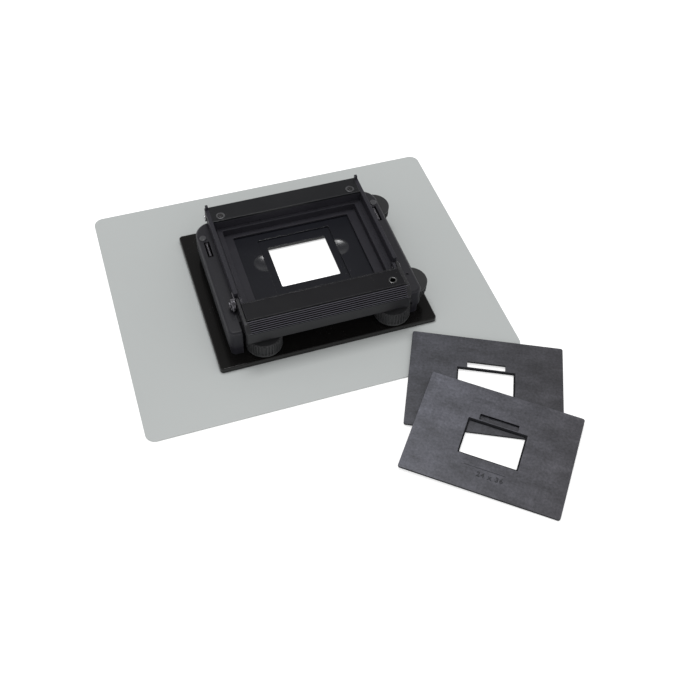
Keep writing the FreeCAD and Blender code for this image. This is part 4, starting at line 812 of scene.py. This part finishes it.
class DUPLICATOR_OT_thumbwheels(bpy.types.Operator):
    """Build the four ribbed thumbwheels"""

    bl_idname = "duplicator.thumbwheels"
    bl_label = "Thumbwheels"

    MODULE = 0.65    # millimetres of pitch diameter for each rib
    # Half of a rib's outline, out from the pitch circle and off its middle, in millimetres.
    RIB = ((-0.62, 0.66), (-0.5, 0.62), (0.35, 0.31))
    FRONT_SPAN, SIDE_SPAN = (1.3, 10.2), (0.0, 5.7)    # heights that the ribs fill, in millimetres
    FRONT_TURN, SIDE_TURN = math.pi / 2, math.pi
    # Corners of the moulded bodies' sections, as radius, height and rounding in millimetres.
    FRONT = ((8.8, 0, 0), (12.22, 0, 0.32), (12.22, 1.5, 0.32), (11.2, 1.5, 0), (11.2, 10.2, 0.4),
             (2.9, 10.2, 0), (2.7, 10.0, 0), (2.7, 8.8, 0), (1.55, 8.8, 0), (1.55, 0, 0),
             (4.0, 0, 0), (4.0, 8.4, 0), (8.8, 8.4, 0))
    SIDE = ((8.15, 0, 0), (10.55, 0, 0.35), (10.55, 5.5, 0), (11.57, 5.5, 0.32), (11.57, 7.0, 0.32),
            (1.55, 7.0, 0), (1.55, 1.4, 0), (2.7, 1.4, 0), (2.7, 0, 0), (4.0, 0, 0),
            (4.0, 5.2, 0), (8.15, 5.2, 0))

    def execute(self, context):
        sizes = context.scene.duplicator_sizes
        for side in ("left", "right"):
            self.wheel("wheel_front_" + side, self.FRONT, sizes.front_ribs, self.FRONT_SPAN,
                       self.FRONT_TURN, sizes.rib_round, "wheel_dark")
        # The side wheels take the painted-shade copy of the wheel finish.
        for side in ("front", "rear"):
            self.wheel("wheel_side_" + side, self.SIDE, sizes.side_ribs, self.SIDE_SPAN,
                       self.SIDE_TURN, sizes.rib_round, "wheel_painted_shade")
        return {"FINISHED"}

    def rib(self, count, low, high, edge):
        """One rib with a rounded crest, standing on the root circle at +X."""
        pitch = self.MODULE * count / 2
        bm = bmesh.new()
        outline = [(x, -y) for x, y in self.RIB] + list(reversed(self.RIB))
        face = bm.faces.new([bm.verts.new(((pitch + x) * MM, y * MM, low * MM)) for x, y in outline])
        raised = bmesh.ops.extrude_face_region(bm, geom=[face])
        top = [v for v in raised["geom"] if isinstance(v, bmesh.types.BMVert)]
        bmesh.ops.translate(bm, verts=top, vec=(0, 0, (high - low) * MM))
        bmesh.ops.recalc_face_normals(bm, faces=bm.faces)
        return rounded(from_bmesh("rib", bm), edge, FINE_SEGMENTS)

    def wheel(self, body, corners, count, span, turn, edge, look):
        """Moulded body turned about its axis, with its ribs set round it."""
        low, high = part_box(body)
        centre = Vector(((low.x + high.x) / 2, (low.y + high.y) / 2, low.z))
        ribs = grow(self.rib(count, *span, edge), ring_tree, look, Count=count, Turn=turn)
        bm = bmesh.new()
        lathe(bm, section(corners), 3 * count)
        bm.from_mesh(ribs.data)
        bpy.data.objects.remove(ribs)
        bmesh.ops.translate(bm, verts=bm.verts, vec=centre)
        piece = shade(from_bmesh(body + "_finished", bm))
        dressed(piece, "wheel_dark", body, body, look=look)


class DUPLICATOR_OT_slide_insert(bpy.types.Operator):
    """Finish the insert with its square recess and dished notches"""

    bl_idname = "duplicator.slide_insert"
    bl_label = "Slide insert"

    STEEPEST, FLATTEST = 0.6, 0.99995    # upward share of the normals inside a dish

    def execute(self, context):
        piece = soften("slide_insert", context.scene.duplicator_sizes.insert_edge)
        dress_faces(piece, "insert_hollow",
                    lambda face: self.STEEPEST < face.normal.z < self.FLATTEST)
        return {"FINISHED"}


class DUPLICATOR_OT_lid(bpy.types.Operator):
    """Finish the hinged frame and its pins"""

    bl_idname = "duplicator.lid"
    bl_label = "Lid"

    def execute(self, context):
        sizes = context.scene.duplicator_sizes
        soften("lid_frame", sizes.moulded_edge)
        soften("hinge_pins", sizes.metal_edge, FINE_SEGMENTS)
        soften("grip_pins", sizes.metal_edge, FINE_SEGMENTS, look="spring_grey")
        return {"FINISHED"}


class DUPLICATOR_OT_rear_panel(bpy.types.Operator):
    """Finish the bare rear panel with its two ringed screws"""

    bl_idname = "duplicator.rear_panel"
    bl_label = "Rear panel"

    EDGE_SHARE = 3.4    # rounding, as a multiple of the metal edge
    RING = ((1.95, -0.2), (2.85, -0.2), (2.95, 0.05), (2.75, 0.22), (2.3, 0.28), (1.95, 0.2))
    RING_STEPS = 40
    RING_INSET = 2.06 * MM    # from the screws' outer side to the middle of a ring
    RING_DROP = 0.5 * MM    # from the panel's top down to the rings

    def execute(self, context):
        sizes = context.scene.duplicator_sizes
        soften("rear_panel", sizes.metal_edge * self.EDGE_SHARE)
        soften("rear_panel_screws", sizes.metal_edge, FINE_SEGMENTS)
        low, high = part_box("rear_panel_screws")
        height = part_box("rear_panel")[1].z - self.RING_DROP
        bm = bmesh.new()
        lathe(bm, [(r * MM, z * MM) for r, z in self.RING], self.RING_STEPS)
        rings = from_bmesh("rear_panel_screw_rings", bm)
        start = (low.x + self.RING_INSET, (low.y + high.y) / 2, height)
        step = (high.x - low.x - 2 * self.RING_INSET, 0, 0)
        grow(rings, row_tree, "stud_grey", Count=2, Start=start, Step=step)
        dressed(shade(rings), "screw_black", "lid", look="stud_grey")
        return {"FINISHED"}


class DUPLICATOR_OT_front_bar(bpy.types.Operator):
    """Finish the front bar and its bush"""

    bl_idname = "duplicator.front_bar"
    bl_label = "Front bar"

    BAR_SHARE, BUSH_SHARE = 3, 2    # roundings, as multiples of the metal edge

    def execute(self, context):
        edge = context.scene.duplicator_sizes.metal_edge
        soften("front_bar", edge * self.BAR_SHARE)
        soften("front_bar_bush", edge * self.BUSH_SHARE, look="bush_steel")
        return {"FINISHED"}


class DUPLICATOR_OT_grip(bpy.types.Operator):
    """Finish the ribbed grip"""

    bl_idname = "duplicator.grip"
    bl_label = "Ribbed grip"

    EDGE_SHARE = 0.8      # rounding, as a share of the moulded edge
    SLOPE = (0, -0.745, 0.667)    # way that the ribbed slope looks
    RIB_HALF = 52.6 * MM    # half length of the ribs
    LOWEST, HIGHEST = 29.0 * MM, 35.4 * MM    # heights that the grooves lie between
    CREST = 0.14 * MM     # depth that still counts as the crest of a rib
    GROOVE = 0.9 * MM     # depth that a groove's floor stays above
    FLAT, BENT, STEEP = 0.99, 0.97, 0.6    # share of a normal that lies along the slope

    def execute(self, context):
        edge = context.scene.duplicator_sizes.moulded_edge * self.EDGE_SHARE
        piece = soften("ribbed_grip", edge, split=True)
        slope = Vector(self.SLOPE)
        crest = max((f for f in piece.data.polygons if f.normal.dot(slope) > self.FLAT),
                    key=lambda f: f.area)
        top = crest.center.dot(slope)

        def on_crest(face):
            """Whether a face lies on the crest of a rib."""
            return (abs(top - face.center.dot(slope)) < self.CREST
                    and face.normal.dot(slope) > self.STEEP and abs(face.center.x) < self.RIB_HALF)

        def in_groove(face):
            """Whether a face lies down in a groove or on the rounding beside it."""
            depth = top - face.center.dot(slope)
            inside = (abs(face.center.x) < self.RIB_HALF
                      and self.LOWEST < face.center.z < self.HIGHEST)
            beside = abs(depth) < self.CREST and self.STEEP < face.normal.dot(slope) < self.BENT
            return inside and (self.CREST < depth < self.GROOVE or beside)

        # The crests of the ribs take a painted highlight.
        dress_faces(piece, "grip_painted_highlight", on_crest)
        # The grooves and the rounding beside them take a painted shade.
        dress_faces(piece, "grip_groove", in_groove)
        return {"FINISHED"}


class DUPLICATOR_OT_springs(bpy.types.Operator):
    """Wind the grip spring and the two side springs"""

    bl_idname = "duplicator.springs"
    bl_label = "Springs"

    GRIP_TURNS = 4.0
    PIN_HEIGHT = 31.4 * MM    # height of the pin inside the grip spring
    LEG_ROOM = 0.4 * MM    # room left beyond the ends of its legs
    LEG_HOOK = 1.2 * MM
    LEG_LEAN = 0.1 * MM    # how far the front leg's end leans inwards
    SIDE_HOOK = 0.9 * MM    # radius of a side spring's end hooks
    HOOK_START, HOOK_SWEEP = -0.25, 1.5    # half turns
    HOOK_STEPS, HOOK_SIDES = 8, 8
    WIND_ROOM = 1.06    # step from turn to turn of a side spring, in wires

    def execute(self, context):
        sizes = context.scene.duplicator_sizes
        self.grip_spring(sizes.coil_wire)
        self.side_springs(sizes.slim_wire)
        return {"FINISHED"}

    def grip_spring(self, wire):
        """Torsion spring on the left pin with two legs."""
        low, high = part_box("grip_springs")
        middle = Vector((low.x + wire / 2, (low.y + high.y) / 2, self.PIN_HEIGHT))
        radius = high.z - middle.z - wire / 2
        reach = (high.y - low.y) / 2 - self.LEG_ROOM
        length = high.x - low.x - wire
        hook = self.LEG_HOOK
        legs = ([(-radius, 0, 0), (-radius, hook - reach, 0), (hook - radius, -reach, self.LEG_LEAN)],
                [(-radius, 0, length), (-radius, reach - hook, length), (hook - radius, reach, length)])
        where = Matrix.Translation(middle) @ Matrix.Rotation(math.radians(90), 4, "Y")
        spring = self.wind("grip_spring_wound", legs, wire, self.GRIP_TURNS, radius, length, where)
        dressed(spring, slot_of("grip_springs"), "lid", "grip_springs", look="spring_grey")

    def side_springs(self, wire):
        """Close-wound tension springs with an end hook each way."""
        low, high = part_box("side_springs")
        radius = (high.z - low.z) / 2 - wire / 2
        hook = self.SIDE_HOOK
        length = high.y - low.y - 2 * hook - 2 * wire
        angles = [math.pi * (self.HOOK_START + i / self.HOOK_STEPS * self.HOOK_SWEEP)
                  for i in range(self.HOOK_STEPS + 1)]
        hooks = [[(hook * math.cos(a), 0, base + end * hook * (math.sin(a) + 0.5)) for a in angles]
                 for end, base in ((-1, 0), (1, length))]
        inset = radius + wire / 2
        for side, x, replaced in (("left", low.x + inset, ["side_springs"]),
                                  ("right", high.x - inset, [])):
            start = Matrix.Translation((x, low.y + hook + wire, (low.z + high.z) / 2))
            where = start @ Matrix.Rotation(math.radians(-90), 4, "X")
            spring = self.wind("side_spring_" + side, hooks, wire, length / (wire * self.WIND_ROOM),
                               radius, length, where, self.HOOK_SIDES)
            dressed(spring, slot_of("side_springs"), "holder", *replaced, look="spring_grey")

    def wind(self, name, ends, wire, turns, radius, length, where, sides=10):
        """Coil of wire with its two ends, moved to where it belongs."""
        bm = bmesh.new()
        for end in ends:
            wire_along(bm, end, wire / 2, sides)
        bmesh.ops.recalc_face_normals(bm, faces=bm.faces)
        spring = from_bmesh(name, bm)
        grow(spring, coil_tree, "spring_grey", Turns=turns, Radius=radius, Wire=wire, Length=length)
        spring.data.transform(where)
        return shade(spring)


class DUPLICATOR_OT_spares(bpy.types.Operator):
    """Finish the two spare inserts with their raised line and figures"""

    bl_idname = "duplicator.spares"
    bl_label = "Spare inserts"

    UPWARD, SIDEWAYS = 0.9, 0.85    # a face looks up from the one, and is a side below the other
    FIGURES = "24 x 36"
    FIGURE_PLACE = (4.2 * MM, -26.3 * MM, 0)
    FIGURE_SPACE, FIGURE_SWELL = 1.18, 0.1 * MM
    LINE_PLACE = (0, -20.8 * MM, 0)
    LINE_SIZE = (26 * MM, 0.35 * MM, 0.24 * MM, 1)

    def execute(self, context):
        sizes = context.scene.duplicator_sizes
        for node, look in (("spare_insert_rear", "spare_rear"), ("spare_insert_front", "spare_slate")):
            piece = soften(node, sizes.insert_edge, look=look)
            plane = self.top_plane(node)
            up = plane.to_3x3() @ Vector((0, 0, 1))
            # Side faces of the insert take a painted shade.
            dress_faces(piece, "spare_side", lambda face: abs(face.normal.dot(up)) < self.SIDEWAYS)
            self.lay_uv(piece, plane)
            self.marks(node, plane, sizes)
        return {"FINISHED"}

    def top_plane(self, node):
        """Matrix whose XY plane is the insert's upper face, X along its long side."""
        bm = merged_copy(node)
        face = max((f for f in bm.faces if f.normal.z > self.UPWARD), key=lambda f: f.calc_area())
        up = face.normal.copy()
        edge = max(bm.edges, key=lambda e: e.calc_length())
        along = edge.verts[1].co - edge.verts[0].co
        along = (along - up * along.dot(up)).normalized()
        if along.x < 0:
            along = -along
        across = up.cross(along)
        points = [(v.co.dot(along), v.co.dot(across), v.co.dot(up)) for v in bm.verts]
        bm.free()
        middle = [(min(p[i] for p in points) + max(p[i] for p in points)) / 2 for i in (0, 1)]
        centre = along * middle[0] + across * middle[1] + up * max(p[2] for p in points)
        return Matrix.Translation(centre) @ Matrix((along, across, up)).transposed().to_4x4()

    def lay_uv(self, piece, plane):
        """UV map in metres in the insert's own plane."""
        back = plane.inverted()
        mesh = piece.data
        layer = mesh.uv_layers.new(name="insert_plane")
        for loop in mesh.loops:
            spot = back @ mesh.vertices[loop.vertex_index].co
            layer.data[loop.index].uv = (spot.x, spot.y)

    def marks(self, node, plane, sizes):
        """Thin raised line with plain figures below it."""
        curve = bpy.data.curves.new(node + "_figures", "FONT")
        curve.body = self.FIGURES
        curve.size = sizes.figure_height
        curve.extrude = sizes.figure_rise
        curve.align_x = "CENTER"
        curve.space_character = self.FIGURE_SPACE
        curve.offset = self.FIGURE_SWELL
        source = add_object(node + "_text", curve)
        graph = bpy.context.evaluated_depsgraph_get()
        mesh = bpy.data.meshes.new_from_object(source.evaluated_get(graph))
        bpy.data.objects.remove(source)
        bm = bmesh.new()
        bm.from_mesh(mesh)
        bpy.data.meshes.remove(mesh)
        bmesh.ops.translate(bm, verts=bm.verts, vec=self.FIGURE_PLACE)
        line = bmesh.ops.create_cube(bm, size=1.0)
        shape = Matrix.Translation(self.LINE_PLACE) @ Matrix.Diagonal(self.LINE_SIZE)
        bmesh.ops.transform(bm, matrix=shape, verts=line["verts"])
        bmesh.ops.transform(bm, matrix=plane, verts=bm.verts)
        bmesh.ops.remove_doubles(bm, verts=bm.verts, dist=MERGE)
        bmesh.ops.recalc_face_normals(bm, faces=bm.faces)
        piece = shade(from_bmesh(node + "_marks", bm))
        self.lay_uv(piece, plane)
        # The marks take a darker finish as painted shade.
        dressed(piece, "spare_slate", body_of(node), look="spare_mark")


STEPS = (DUPLICATOR_OT_stage, DUPLICATOR_OT_finishes, DUPLICATOR_OT_plates,
         DUPLICATOR_OT_housing, DUPLICATOR_OT_thumbwheels, DUPLICATOR_OT_slide_insert,
         DUPLICATOR_OT_lid, DUPLICATOR_OT_rear_panel, DUPLICATOR_OT_front_bar,
         DUPLICATOR_OT_grip, DUPLICATOR_OT_springs, DUPLICATOR_OT_spares)
SETTINGS = {"duplicator_sizes": DuplicatorSizes, "duplicator_colours": DuplicatorColours,
            "duplicator_studio": DuplicatorStudio}


class DUPLICATOR_PT_panel(bpy.types.Panel):
    """Settings and steps of the slide duplicator"""

    bl_label = "Slide Duplicator"
    bl_idname = "DUPLICATOR_PT_panel"
    bl_space_type = "VIEW_3D"
    bl_region_type = "UI"
    bl_category = "Duplicator"

    def draw(self, context):
        for name, group in SETTINGS.items():
            box = self.layout.box()
            for prop in group.__annotations__:
                box.prop(getattr(context.scene, name), prop)
        for operator in STEPS:
            self.layout.operator(operator.bl_idname)


CLASSES = (*SETTINGS.values(), *STEPS, DUPLICATOR_PT_panel)


def register():
    """Add the classes and the settings."""
    for item in CLASSES:
        bpy.utils.register_class(item)
    for name, group in SETTINGS.items():
        setattr(bpy.types.Scene, name, PointerProperty(type=group))


def unregister():
    """Take the settings and the classes away."""
    for name in SETTINGS:
        delattr(bpy.types.Scene, name)
    for item in reversed(CLASSES):
        bpy.utils.unregister_class(item)


def main():
    """Make the stage and every piece."""
    register()
    for operator in STEPS:
        group, name = operator.bl_idname.split(".")
        getattr(getattr(bpy.ops, group), name)()


if __name__ == "__main__":
    main()
